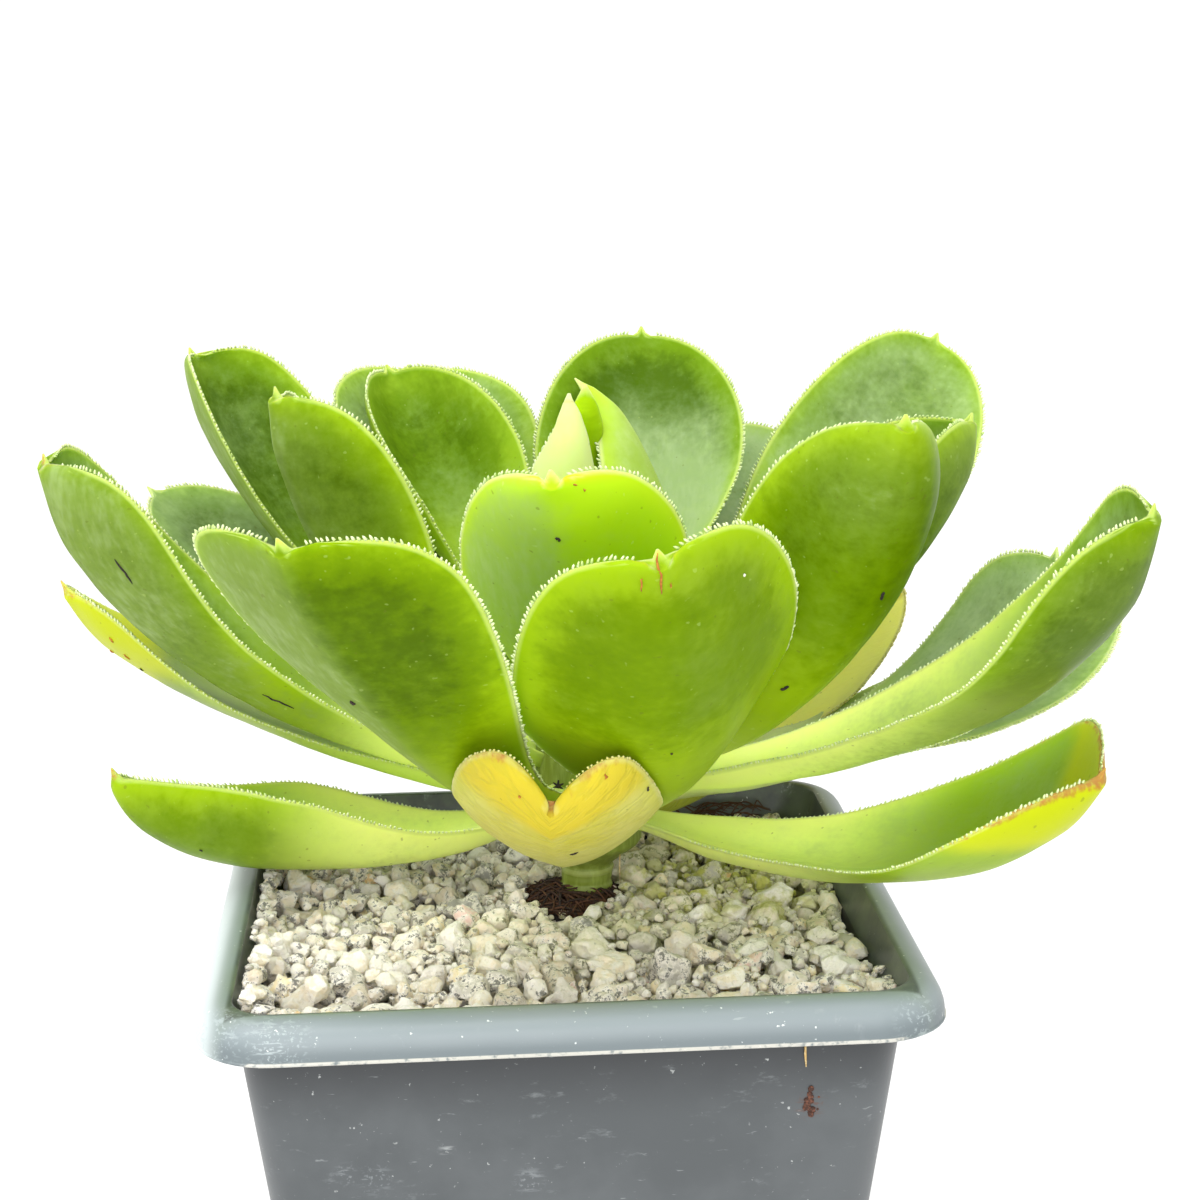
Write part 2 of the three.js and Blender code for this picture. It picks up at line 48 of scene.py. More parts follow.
POT = {
    "height": 85.0, "lip_half": 40.0, "lip_height": 4.3, "mouth_half": 36.0, "base_half": 26.0,
    "wall": 1.2, "floor": 1.4, "lip_corner": 8.5, "mouth_corner": 4.5, "wall_corner": 6.0,
    "base_corner": 5.0, "drain_radius": 4.0, "drain_offset": 14.0,
}
LIP_BOTTOM = POT["height"] - POT["lip_height"]
SOIL_TOP = 75.5
GRIT_TOP = 81.6
PLUG = {"x": 2.3, "y": 7.0, "radius": 6.0, "bottom": 58.5, "top": 80.2}
STEM = {
    "bottom": 64.0, "foot": (3.9, 8.2), "crown": (4.5, 8.5), "radius": 3.15, "crown_radius": 6.4,
    "flare": (84.5, 88.0), "taper": (101.0, 114.0), "tip_radius": 1.5,
    "scars": (81.9, 84.0),
}
LEAF = {
    "stem_gap": 0.6, "root": 1.6, "point": 2.8, "point_half": 1.2, "stalk_share": 0.28,
    "stalk_end": 0.18, "blade_start": 0.12, "mid_thick": 1.9, "stalk_thick": 2.8, "base_thick": 1.7,
    "edge_thick": 0.36, "swell": 0.16, "ripple": 0.06, "ridge": 0.22,
}

# Each leaf by its place in the rosette, lowest first: heading from +X towards +Y in degrees, height
# on the stem, length, width, climb at the base and at the tip, how late it bends, fold, cup, twist
# and sideways swing in degrees, where it is widest, and how blunt its end is.
LEAF_COLUMNS = (
    "heading", "height", "length", "width", "rise", "rise_end", "bend",
    "fold", "cup", "twist", "sway", "widest", "blunt",
)
LEAF_SHAPES = {
    "leaf_yellow_back": (52, 89, 69, 25, -3, 42, 1.4, 8, 18, -8, -13, 0.64, 0.55),
    "leaf_low_left": (-176, 91, 55, 31, -9, 70, 2.8, 23, 11, 22, 12, 0.58, 0.7),
    "leaf_low_right": (-33, 91.5, 67, 32, -6, 53, 1.7, 17, 6, 19, -26, 0.82, 0.65),
    "leaf_hidden_back_1": (77, 91.5, 69, 28, 12, 38, 0.8, 8, 12, 13, 0, 0.68, 0.5),
    "leaf_pale_right": (25, 92, 74, 28, 5, 26, 1.6, 6, 6, 21, -15, 0.62, 0.65),
    "leaf_hidden_back_3": (120, 93, 70, 27, -9, 30, 1.5, 23, 18, 5, 0, 0.68, 0.5),
    "leaf_yellow_front": (-100.5, 93.5, 46.5, 24, -3, 50, 1.1, 5, 34, -2, 7, 0.66, 0.34),
    "leaf_yellow_tip_left": (168, 93.5, 64, 26, 14, 55, 2.3, 3, 8, 5, 31, 0.74, 0.5),
    "leaf_grey_back": (62, 94, 74, 29, 21, 33, 1.2, 12, 14, 21, -3, 0.7, 0.45),
    "leaf_back_right": (0, 94.5, 62, 27, 6, 76, 2.1, 2, 4, 10, 10, 0.82, 0.4),
    "leaf_grey_left": (134, 95.5, 70, 29, 16, 37, 1.2, 6, 5, -10, 31, 0.62, 0.5),
    "leaf_outer_right": (-32, 96, 82, 28, 16, 74, 2.6, 25, 5, 36, -35, 0.86, 0.4),
    "leaf_front_left": (-116, 96, 79, 30, 7, 53, 0.7, 13, 6, 1, -3, 0.86, 0.3),
    "leaf_outer_left": (-177, 96.5, 74, 31, 16, 76, 1.8, 24, 7, -14, 34, 0.8, 0.3),
    "leaf_tall_back_right": (39, 96.5, 81, 27, 25, 46, 1.1, 12, 15, 40, 13, 0.66, 0.5),
    "leaf_hidden_back_2": (91, 98, 62, 27, 22, 42, 1.3, 18, 22, 0, 0, 0.68, 0.5),
    "leaf_front_right": (-77, 98, 72, 34, -2, 60, 0.7, 23, 6, 28, -35, 0.6, 0.31),
    "leaf_tall_back_left": (139, 99, 74, 28, 15, 66, 1.1, 23, 12, 3, 12, 0.74, 0.25),
    "leaf_inner_right": (8, 99, 60, 30, 24, 68, 1.6, 42, 21, -3, 22, 0.7, 0.45),
    "leaf_upper_left": (-169, 99.5, 56, 28, 29, 80, 0.8, 25, 23, 9, 7, 0.68, 0.4),
    "leaf_upper_right": (-53, 100.5, 67, 32, 15, 87, 1.3, 29, 42, -26, 0, 0.7, 0.35),
    "leaf_back_left_outer": (118, 101.5, 68, 31, 33, 33, 1.3, 26, 5, 4, -24, 0.72, 0.7),
    "leaf_heart_right": (-6, 101.5, 46, 28.5, 58, 130, 0.7, 21, 14, 10, -3, 0.46, 1.3),
    "leaf_front_centre": (-94, 103, 51, 29, 30, 63, 0.8, 11, 35, 8, -16, 0.56, 0.4),
    "leaf_tall_back": (73, 103.5, 63, 30, 31, 54, 1.4, 12, 23, 6, 14, 0.64, 0.55),
    "leaf_back_left": (122, 105, 56, 27, 33, 50, 1.4, 29, 35, -8, -7, 0.66, 0.6),
    "leaf_heart_left": (-101, 107.5, 39, 14.5, 59, 101, 1.4, 38, 33, 28, 5, 0.6, 1.3),
    "leaf_heart_bud": (-90, 112.5, 32, 7.4, 94, 75, 1.4, 32, 38, -2, -3, 0.6, 0.95),
}

# How each leaf looks, where it differs from PLAIN_LOOK. bloom_out is the waxy bloom on the right and
# left half of the outer face, bloom_in on the inner face, both from 0 to 1; spots are patches with
# more of it, each with its face, place across in mm and along as a share, size in mm and strength.
# fresh is how yellow-green the leaf is, and also painted light: it paints leaves that lie in shade
# brighter, as if lit through. ripe is how far the yellow of an old leaf reaches down from the tip;
# blush is the red on its margin and rusty_tip on its point; pale whitens the whole leaf. stalk is
# the pale green of the stalk, partly its own colour and partly painted light that lifts the shade
# under the rosette, and it ends at the share stalk_end. keel is how rounded the fold is, notch how
# far in mm the lobes of the end reach past the midrib, droop how far one half bends down, and hair
# how long the hairs are.
LEAF_LOOKS = {
    "leaf_yellow_back": dict(finish="yellow", fresh_and_glow=1.0, bloom_in=0.0, ripe=0.1, blush=0.2),
    "leaf_low_left": dict(
        stalk=1.0, stalk_end=0.68, bloom_out=(0.3, 0.2), bloom_in=0.3, fresh_and_glow=0.35, blush=0.25,
    ),
    "leaf_low_right": dict(
        stalk=1.0, stalk_end=0.62, bloom_out=(0.1, 0.1), bloom_in=0.3, fresh_and_glow=0.9, ripe=0.24, blush=0.55,
    ),
    "leaf_pale_right": dict(
        droop=3.0, stalk=1.0, stalk_end=0.62, finish="grey", bloom_out=(0.6, 0.6), bloom_in=0.38,
    ),
    "leaf_yellow_front": dict(
        finish="yellow", ripe=0.25, blush=0.42, fresh_and_glow=0.5, notch=9.0, rusty_tip=0.2, hair=0.45,
    ),
    "leaf_yellow_tip_left": dict(
        stalk=0.6, stalk_end=0.85, bloom_out=(0.0, 0.0), bloom_in=0.4, ripe=0.36, blush=0.4, fresh_and_glow=0.3,
    ),
    "leaf_grey_back": dict(finish="grey", bloom_in=0.6, fresh_and_glow=0.4),
    "leaf_back_right": dict(stalk=1.0, stalk_end=0.62, finish="grey", bloom_out=(0.6, 0.6), bloom_in=0.7),
    "leaf_grey_left": dict(finish="grey", bloom_in=0.3, bloom_out=(0.5, 0.5), fresh_and_glow=0.1),
    "leaf_outer_right": dict(fresh_and_glow=-0.1, stalk=1.0, stalk_end=0.8, bloom_out=(0.3, 0.2), bloom_in=0.4),
    "leaf_front_left": dict(
        stalk=0.45, bloom_out=(0.9, 0.0), bloom_in=0.3, keel=0.12, fresh_and_glow=0.05, notch=0.4, rusty_tip=0.4,
    ),
    "leaf_outer_left": dict(
        stalk=1.0, bloom_out=(0.2, 0.45), bloom_in=0.5, rusty_tip=0.5, fresh_and_glow=0.0,
        spots=((1, 4.0, 0.85, 10.0, 0.35),),
    ),
    "leaf_tall_back_right": dict(
        bloom_in=0.6, bloom_out=(0.5, 0.5), spots=((0, -4.0, 0.62, 8.0, 0.55), (0, 3.0, 0.42, 8.0, 0.5)),
    ),
    "leaf_front_right": dict(
        stalk=0.45, bloom_out=(0.0, 0.24), bloom_in=0.3, fresh_and_glow=0.4, notch=0.2, rusty_tip=0.45,
    ),
    "leaf_tall_back_left": dict(bloom_in=0.18, bloom_out=(0.6, 0.9), fresh_and_glow=0.05),
    "leaf_upper_left": dict(
        stalk=0.35, bloom_out=(0.65, 0.18), bloom_in=0.4, keel=0.14, spots=((1, 2.0, 0.78, 7.0, 0.34),),
    ),
    "leaf_upper_right": dict(
        stalk=0.35, bloom_out=(0.15, 0.0), bloom_in=0.4, fresh_and_glow=0.25, spots=((1, -5.0, 0.85, 8.0, 0.12),),
    ),
    "leaf_heart_right": dict(finish="young", bloom_out=(0.5, 0.5), bloom_in=0.0, fresh_and_glow=-0.2, pale=0.1),
    "leaf_front_centre": dict(finish="young", bloom_out=(0.8, 0.0), bloom_in=0.2, fresh_and_glow=0.8, notch=0.25),
    "leaf_tall_back": dict(
        fresh_and_glow=-0.15, bloom_in=0.0, bloom_out=(0.5, 0.5),
        spots=((0, -5.5, 0.5, 10.0, 1.5), (0, 2.0, 0.75, 4.0, 0.25)),
    ),
    "leaf_back_left": dict(
        bloom_in=0.05, bloom_out=(0.5, 0.5), fresh_and_glow=0.2, spots=((0, -3.0, 0.45, 7.0, 0.5),),
    ),
    "leaf_back_left_outer": dict(bloom_in=0.5, bloom_out=(0.5, 0.5)),
    "leaf_heart_left": dict(
        finish="young", bloom_out=(0.6, 0.6), bloom_in=0.2, fresh_and_glow=0.6, pale=0.95, rusty_tip=0.45,
    ),
    "leaf_heart_bud": dict(finish="young", bloom_out=(0.1, 0.1), bloom_in=0.0, fresh_and_glow=-0.5),
}
PLAIN_LOOK = dict(
    finish="green", bloom_out=(0.4, 0.4), bloom_in=0.35, fresh_and_glow=0.1, ripe=0.0, blush=0.0, pale=0.0,
    keel=0.35, stalk=0.75, notch=0.0, rusty_tip=0.15, stalk_end=0.42, droop=0.0, hair=1.0, spots=(),
)


# ---------------------------------------------------------------- small helpers

def smooth(x):
    x = np.clip(x, 0, 1)
    return x * x * (3 - 2 * x)


def unit(vectors):
    return vectors / np.maximum(np.linalg.norm(vectors, axis=-1, keepdims=True), 1e-9)


def merge(parts):
    """Joins parts, each a list of points and a list of faces, into one of each."""
    points, faces, start = [], [], 0
    for part_points, part_faces in parts:
        points.append(np.asarray(part_points, float))
        faces.extend([[corner + start for corner in face] for face in part_faces])
        start += len(part_points)
    return np.concatenate(points), faces


def make_piece(name, points, faces, materials, slot, replaces=(), sharp=None, attributes=()):
    """Makes a piece of the object from points in mm, and hands it to the frame."""
    mesh = bpy.data.meshes.new(name)
    mesh.from_pydata((np.asarray(points) * MM).tolist(), [], [list(face) for face in faces])
    for material in materials:
        mesh.materials.append(material)
    for label, values in dict(attributes).items():
        values = np.asarray(values, np.float32)
        kind, key = ("FLOAT_VECTOR", "vector") if values.ndim == 2 else ("FLOAT", "value")
        mesh.attributes.new(label, kind, "POINT").data.foreach_set(key, values.ravel())
    mesh.shade_smooth()
    if sharp:
        mesh.set_sharp_from_angle(angle=math.radians(sharp))
    mesh.update()
    piece = bpy.data.objects.new(name, mesh)
    bpy.context.scene.collection.objects.link(piece)
    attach(piece, BODY)
    if replaces:
        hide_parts(*replaces)
    return piece


def round_angles(sides):
    return np.arange(sides) * 2 * math.pi / sides


def skin_faces(rings, count):
    """Faces between neighbouring closed rings of points, laid one after another, and over both ends."""
    faces = []
    for ring in range(rings - 1):
        for i in range(count):
            a = ring * count + i
            b = ring * count + (i + 1) % count
            faces.append((a, b, b + count, a + count))
    last = (rings - 1) * count
    faces.append(tuple(range(count - 1, -1, -1)))
    faces.append(tuple(range(last, last + count)))
    return faces


def tube(path, radii, sides=5):
    """A closed round rod along a path, with a radius for each of its points."""
    path = np.asarray(path, float)
    radii = np.broadcast_to(radii, len(path))
    along = unit(np.gradient(path, axis=0))
    start = np.array([0.0, 0.0, 1.0]) if abs(along[0][2]) < 0.9 else np.array([1.0, 0.0, 0.0])
    angles = round_angles(sides)[:, None]
    rings = []
    for point, direction, radius in zip(path, along, radii):
        start = unit(start - direction * (start @ direction))
        other = np.cross(direction, start)
        rings.append(point + radius * (np.cos(angles) * start + np.sin(angles) * other))
    return np.concatenate(rings), skin_faces(len(path), sides)


# ---------------------------------------------------------------- materials: shared parts

SOFT = {"interpolation_type": "SMOOTHSTEP"}


def linear(hex_colour):
    """The linear colour of an sRGB hex value."""
    def channel(text):
        value = int(text, 16) / 255
        return value / 12.92 if value <= 0.04045 else ((value + 0.055) / 1.055) ** 2.4
    return tuple(channel(hex_colour[i:i + 2]) for i in (1, 3, 5)) + (1.0,)


def add(tree, kind, inputs=(), **settings):
    """Adds a node. Settings are its own options. Inputs go to its sockets, by name or in the order
    of those in use: a number, a hex colour, another node's output, or a node for its first output."""
    node = tree.nodes.new("ShaderNode" + kind)
    for option, value in settings.items():
        setattr(node, option, value)
    if isinstance(inputs, dict):
        pairs = [(node.inputs[name], value) for name, value in inputs.items()]
    else:
        pairs = zip([socket for socket in node.inputs if socket.enabled], inputs)
    for socket, value in pairs:
        if isinstance(value, bpy.types.Node):
            value = next(output for output in value.outputs if output.enabled)
        if isinstance(value, bpy.types.NodeSocket):
            tree.links.new(value, socket)
        else:
            socket.default_value = linear(value) if isinstance(value, str) else value
    return node


def new_material(name):
    material = bpy.data.materials.new(name)
    material.use_nodes = True
    material.node_tree.nodes.clear()
    return material, material.node_tree


def finish(tree, **sockets):
    """Closes a material with its shader, whose sockets are named with underscores for spaces."""
    shader = add(tree, "BsdfPrincipled", {key.replace("_", " "): value for key, value in sockets.items()})
    add(tree, "OutputMaterial", {"Surface": shader})


def paint(tree, under, layers):
    """Lays colours over one another. Each layer has its colour, its strength and what it keeps to:
    masks from 0 to 1, or a pattern with the values where the layer starts and where it is full."""
    for colour, strength, *limits in layers:
        for limit in limits:
            if isinstance(limit, tuple):
                limit = add(tree, "MapRange", limit, **SOFT)
            strength = add(tree, "Math", (limit, strength), operation="MULTIPLY")
        under = add(tree, "Mix", (strength, under, colour), data_type="RGBA")
    return under


def blend(tree, start, *parts):
    """A value with patterns added to it, each with its weight."""
    for pattern, weight in parts:
        start = add(tree, "Math", (pattern, weight, start), operation="MULTIPLY_ADD")
    return start


def place_mm(tree):
    """The point in the object's own frame, in millimetres."""
    here = add(tree, "TexCoord").outputs["Object"]
    return add(tree, "VectorMath", (here, 1 / MM), operation="SCALE")


# The patterns below are noise. Each has its place in mm, one over its size in mm, its detail and its
# roughness. Where one is drawn out along an axis, its place is first scaled down along that axis.

# ---------------------------------------------------------------- materials: leaves

# The stalk colours of the green, young and grey finishes are painted paler than the stalks are: painted
# light that lifts the shade under the rosette.
LEAF_COLOURS = {
    "green": {
        "outer_deep": "#486300", "outer_mid": "#658400", "outer_bright": "#8caa0e",
        "inner_deep": "#46640a", "inner_mid": "#688a14", "inner_bright": "#8eae28",
        "bloom": "#768e3e", "bloom_inner": "#92aa72", "frost": "#b4c596", "stalk": "#e8fa88",
        "ripe": "#b4be0c", "rim": "#bccf78",
    },
    # The young finish is partly the young leaves' own yellow-green and partly painted light, painted
    # brighter where they lie in shade.
    "young": {
        "outer_deep": "#8aae08", "outer_mid": "#acd00e", "outer_bright": "#b2d61c",
        "inner_deep": "#7ea418", "inner_mid": "#9cc030", "inner_bright": "#b8d650",
        "bloom": "#9cb95e", "bloom_inner": "#a6c27a", "frost": "#c4d4a0", "stalk": "#cfe070",
        "ripe": "#c8d030", "rim": "#d4e29a",
    },
    "grey": {
        "outer_deep": "#567018", "outer_mid": "#728e30", "outer_bright": "#96ae48",
        "inner_deep": "#516c26", "inner_mid": "#6e8c42", "inner_bright": "#90ab58",
        "bloom": "#8ea262", "bloom_inner": "#9db282", "frost": "#b6c698", "stalk": "#e6f69a",
        "ripe": "#b8b84c", "rim": "#bccb8c",
    },
    # The yellow finish's inner colours are painted brighter than the leaf's own yellow: painted light that
    # lifts the shade the back leaf lies in.
    "yellow": {
        "outer_deep": "#aea62a", "outer_mid": "#bdb53a", "outer_bright": "#c6c452",
        "inner_deep": "#f2ea4c", "inner_mid": "#f8f160", "inner_bright": "#fbf67c",
        "bloom": "#ccc884", "bloom_inner": "#e8e6a0", "frost": "#d8d6a0", "stalk": "#b4c23c",
        "ripe": "#c8b636", "rim": "#d0cc80",
    },
}


def leaf_skin(name, colours, creased):
    """Living leaf: smooth waxy skin over wet flesh. It is deep green in the middle of the blade and
    bright at the margin, at the base and on young leaves: partly the leaf's own colour and partly
    painted light, a painted glow for light shining through and for the shade under the rosette that
    it lifts. The stalk's pale green is partly painted light too. It is satin where it is clean, and
    pale and matt, with fine streaks, where the bloom lies. An old leaf is creased across, and painted
    darker in its creases as painted shade."""
    material, tree = new_material(name)
    place = add(tree, "Attribute", attribute_name="leaf_mm").outputs["Vector"]
    edge, outer, bloom, thin, ripe, blush, pale, stalk = (
        add(tree, "Attribute", attribute_name=key).outputs["Fac"]
        for key in ("edge_mm", "outer", "bloom", "thin", "ripe", "blush", "pale", "stalk")
    )
    along_leaf = add(tree, "VectorMath", (place, (1, 1 / 2.6, 1)), operation="MULTIPLY")
    across_leaf = add(tree, "VectorMath", (place, (1 / 2.4, 1, 1)), operation="MULTIPLY")
    cells = add(tree, "TexNoise", (place, 1 / 0.9, 3, 0.6))
    blotches = add(tree, "TexNoise", (place, 1 / 2.3, 2, 0.5))
    mottle = add(tree, "TexNoise", (place, 1 / 6.0, 3, 0.5))
    clouds = add(tree, "TexNoise", (place, 1 / 11.0, 3, 0.5))
    streaks = add(tree, "TexNoise", (along_leaf, 1 / 0.9, 2, 0.5))
    specks = add(tree, "TexNoise", (place, 1 / 0.8, 1, 0.4))
    wrinkles = add(tree, "TexNoise", (across_leaf, 1 / 1.5, 2, 0.5))
    from_crease = add(tree, "Math", (blend(tree, -0.5, (wrinkles, 1.0)),), operation="ABSOLUTE")
    on_outside = add(tree, "MapRange", (outer, 0.0, 1.0, 0.15, 1.0), **SOFT)
    creases = add(tree, "MapRange", (from_crease, 0.09, 0.0), **SOFT)
    creases = add(tree, "Math", (creases, on_outside), operation="MULTIPLY")

    # painted glow: brighter at the margin, at the base and on young leaves, partly the leaf's own colour and
    # partly painted light for light shining through and for the shade under the rosette
    lit = blend(tree, thin, (blotches, 0.5), (mottle, 0.34), (cells, 0.36))
    inner_skin, outer_skin = (
        paint(tree, colours[face + "_deep"], [
            (colours[face + "_mid"], 1.0, (lit, 0.48, 1.02)),
            (colours[face + "_bright"], 1.0, (lit, 0.94, 1.65)),
        ])
        for face in ("inner", "outer")
    )
    skin = paint(tree, inner_skin, [(outer_skin, 1.0, outer)])
    wax = paint(tree, colours["bloom_inner"], [(colours["bloom"], 1.0, outer)])
    ragged = blend(tree, bloom, (clouds, 0.85), (streaks, 0.14), (cells, 0.36), (blotches, 0.26))
    waxed = add(tree, "MapRange", (ragged, 0.8, 1.75, 0.0, 0.85), **SOFT)
    colour = paint(tree, skin, [
        # the stalk painted pale: partly its own colour, partly painted light that lifts the shade under the
        # rosette
        (colours["stalk"], 1.0, stalk),
        (wax, 1.0, waxed),
        (colours["frost"], 0.24, (waxed, 0.35, 0.85), (blend(tree, streaks, (clouds, 1.0)), 0.8, 1.4)),
        ("#cfdc8e", 1.0, pale),
        (colours["ripe"], 1.0, (blend(tree, ripe, (clouds, 0.7)), 0.5, 1.15)),
        (colours["rim"], 0.2, (specks, 0.73, 0.79)),
        ("#5d6420", 0.4, (specks, 0.26, 0.22)),
        # painted shade: the creases of an old leaf are painted darker
        ("#9a9a3c", 0.18 * creased, creases),
        (colours["rim"], 0.6, (edge, 0.45, 0.0)),
        ("#a45a3a", 0.8, (blend(tree, blush, (cells, 0.7), (blotches, 0.5)), 1.0, 1.3)),
    ])
    relief = blend(tree, 0.0, (cells, 0.5), (streaks, 0.6), (creases, -1.8 * creased))
    finish(
        tree, Base_Color=colour, Roughness=add(tree, "MapRange", (waxed, 0.0, 0.8, 0.4, 0.62), **SOFT),
        Normal=add(tree, "Bump", {"Height": relief, "Strength": 0.3, "Distance": 0.12 * MM}), IOR=1.42,
        Subsurface_Weight=0.6, Subsurface_Scale=2.5 * MM, Subsurface_Radius=(0.9, 1.0, 0.25),
        Specular_IOR_Level=0.09, Specular_Tint="#f0ffa0",
    )
    return material


def leaf_hair(name, hex_pale, hex_dark):
    """The stiff hairs on a leaf's margin: clear and wet-looking, so that they catch the light."""
    material, tree = new_material(name)
    uneven = add(tree, "TexNoise", (place_mm(tree), 1 / 1.6, 2, 0.5))
    finish(
        tree, Base_Color=paint(tree, hex_pale, [(hex_dark, 1.0, (uneven, 0.42, 0.7))]), Roughness=0.4,
        IOR=1.45, Subsurface_Weight=0.5, Subsurface_Scale=0.3 * MM, Subsurface_Radius=(1.0, 1.0, 0.8),
    )
    return material


def stem_skin():
    """Young fleshy stem: smooth and satin, yellower at its upper scar and browner at the foot."""
    material, tree = new_material("fleshy_stem_skin")
    place = place_mm(tree)
    height = add(tree, "SeparateXYZ", (place,)).outputs["Z"]
    along_stem = add(tree, "VectorMath", (place, (1, 1, 1 / 5)), operation="MULTIPLY")
    streaks = add(tree, "TexNoise", (along_stem, 1 / 0.8, 3, 0.6))
    scar = add(tree, "Math", (height, STEM["scars"][1], 0.35), operation="COMPARE")
    colour = paint(tree, "#74822c", [
        ("#8a9a44", 1.0, (streaks, 0.4, 0.7)),
        ("#a9b168", 0.4, scar),
        ("#4a3f1c", 0.8, (blend(tree, height, (streaks, -1.6)), PLUG["top"] + 1.2, PLUG["top"])),
    ])
    finish(
        tree, Base_Color=colour, Roughness=0.45, IOR=1.42,
        Normal=add(tree, "Bump", {"Height": streaks, "Strength": 0.3, "Distance": 0.2 * MM}),
        Subsurface_Weight=0.3, Subsurface_Scale=1.5 * MM, Subsurface_Radius=(0.9, 1.0, 0.3),
    )
    return material


# ---------------------------------------------------------------- materials: pot and fill

WALL_MARKS = [  # place in mm, reach in mm and colour
    ((25.1, -34.8, 71.5), 2.4, "#5a3c30"), ((-5.1, -33.8, 63.7), 2.2, "#868b8d"),
    ((-21.6, -33.9, 64.6), 2.6, "#7e8486"), ((-24.8, -34.0, 65.4), 1.8, "#868b8d"),
    ((-13.9, -34.3, 67.9), 1.2, "#9a9e9d"), ((-38.5, -37.0, 83.8), 6.0, "#a9b4b5"),
    ((-31.0, -39.6, 83.6), 5.0, "#a9b4b5"), ((36.5, -39.0, 82.8), 4.4, "#a4afb0"),
]


def moulded_polypropylene():
    """Injection-moulded polypropylene: satin, with fine scuffs and white specks of lime, a green film
    of algae inside the lip and a worn pale line along its lower edge. Light and shade are painted in
    too: the lip is painted lighter than the wall as a painted highlight, and painted darker on its
    lower part and at its inner edge, and the wall under the lip, as painted shade."""
    material, tree = new_material("moulded_grey_polypropylene")
    place = place_mm(tree)
    axes = add(tree, "SeparateXYZ", (place,)).outputs
    x, height = axes["X"], axes["Z"]
    sides = [add(tree, "Math", (axes[key],), operation="ABSOLUTE") for key in "XY"]
    reach = add(tree, "Math", sides, operation="MAXIMUM")
    round_wall, down_wall, round_lip = (
        add(tree, "VectorMath", (place, narrower), operation="MULTIPLY")
        for narrower in ((1 / 2.5, 1 / 2.5, 1), (1, 1, 1 / 2.2), (1 / 5, 1 / 5, 1))
    )
    haze = add(tree, "TexNoise", (place, 1 / 14.0, 4, 0.6))
    scuff = add(tree, "TexNoise", (round_wall, 1 / 2.2, 6, 0.7))
    lime = add(tree, "TexNoise", (place, 1 / 0.7, 3, 0.55))
    film = add(tree, "TexNoise", (place, 1 / 6.0, 4, 0.6))
    drops = add(tree, "TexNoise", (down_wall, 1 / 4.0, 5, 0.7))
    scratch = add(tree, "TexNoise", (round_lip, 1 / 0.5, 3, 0.6))
    flecks = add(tree, "TexNoise", (place, 1 / 0.45, 3, 0.6))
    grain = add(tree, "TexNoise", (place, 1 / 0.35, 2, 0.5))

    edge, mouth, lip = LIP_BOTTOM, POT["mouth_half"], POT["lip_half"]
    on_lip = add(tree, "MapRange", (height, edge - 0.3, edge - 0.1), **SOFT)
    on_wall = (height, edge - 0.1, edge - 0.3)
    along_edge = add(tree, "MapRange", (height, edge + 0.46, edge + 0.36), **SOFT)
    along_edge = add(tree, "Math", (along_edge, on_lip), operation="MULTIPLY")
    mostly_lip = add(tree, "MapRange", (on_lip, 0.0, 1.0, 0.45, 1.0), **SOFT)
    layers = [
        ("#55595b", 1.0, (haze, 0.35, 0.7)),
        # painted shade on the wall under the lip
        ("#303234", 0.85, on_wall, (height, edge - 10.7, edge - 1.2)),
        # painted highlight: the lip painted lighter than the wall
        ("#8a9598", 0.85, on_lip),
        # painted shade on the lip's lower part
        ("#5b6568", 0.7, on_lip, (height, edge + 3.3, edge + 0.9)),
        ("#a3a9aa", 0.4, (scuff, 0.6, 0.8)),
        ("#d8e2e0", 0.8, on_lip, (x, 3.5 - lip, 0.4 - lip)),
        ("#c9cfcf", 0.22, (scratch, 0.68, 0.75)),
        ("#7d8a80", 0.35, on_lip, (reach, mouth + 2.4, mouth + 1.0)),
        # painted shade at the lip's inner edge
        ("#454b4d", 1.0, on_lip, (reach, mouth + 0.8, mouth + 0.2)),
        ("#76836c", 0.45, on_lip, (reach, mouth + 1.6, mouth + 0.1), (film, 0.3, 0.65)),
        ("#c9cfcd", 0.7, on_lip, (drops, 0.6, 0.72), (haze, 0.4, 0.7)),
        ("#dfe3e0", 1.0, mostly_lip, (lime, 0.69, 0.74), (haze, 0.35, 0.55)),
        ("#d0cdc2", 0.75, along_edge, (reach, lip - 0.6, lip - 0.2), (lime, 0.25, 0.5)),
    ]
    patchy = [add(tree, "MapRange", (pattern, 0.54, 0.66), **SOFT) for pattern in (flecks, scratch)]
    broken = add(tree, "Math", patchy, operation="MAXIMUM")
    for where, reach_mm, hex_colour in WALL_MARKS:
        gap = add(tree, "VectorMath", (place, where), operation="DISTANCE")
        layers.append((hex_colour, 0.75, broken, (gap, reach_mm, 0.1 * reach_mm)))
    relief = blend(tree, 0.0, (grain, 0.3), (scuff, 0.5))
    finish(
        tree, Base_Color=paint(tree, "#4b4f51", layers), IOR=1.49,
        Roughness=add(tree, "MapRange", (haze, 0.3, 0.7, 0.32, 0.42), **SOFT),
        Normal=add(tree, "Bump", {"Height": relief, "Strength": 0.15, "Distance": 0.15 * MM}),
    )
    return material


STONE_COLOURS = [  # the share of the stones where each colour starts, and the colour
    (0.0, "#fbeed4"), (0.24, "#fff9ec"), (0.46, "#f6ebd8"), (0.6, "#d6d1c4"), (0.72, "#f5e6cd"),
    (0.87, "#ffecc2"), (0.93, "#efc88c"), (0.945, "#f2d2c4"), (0.965, "#a19f98"),
]


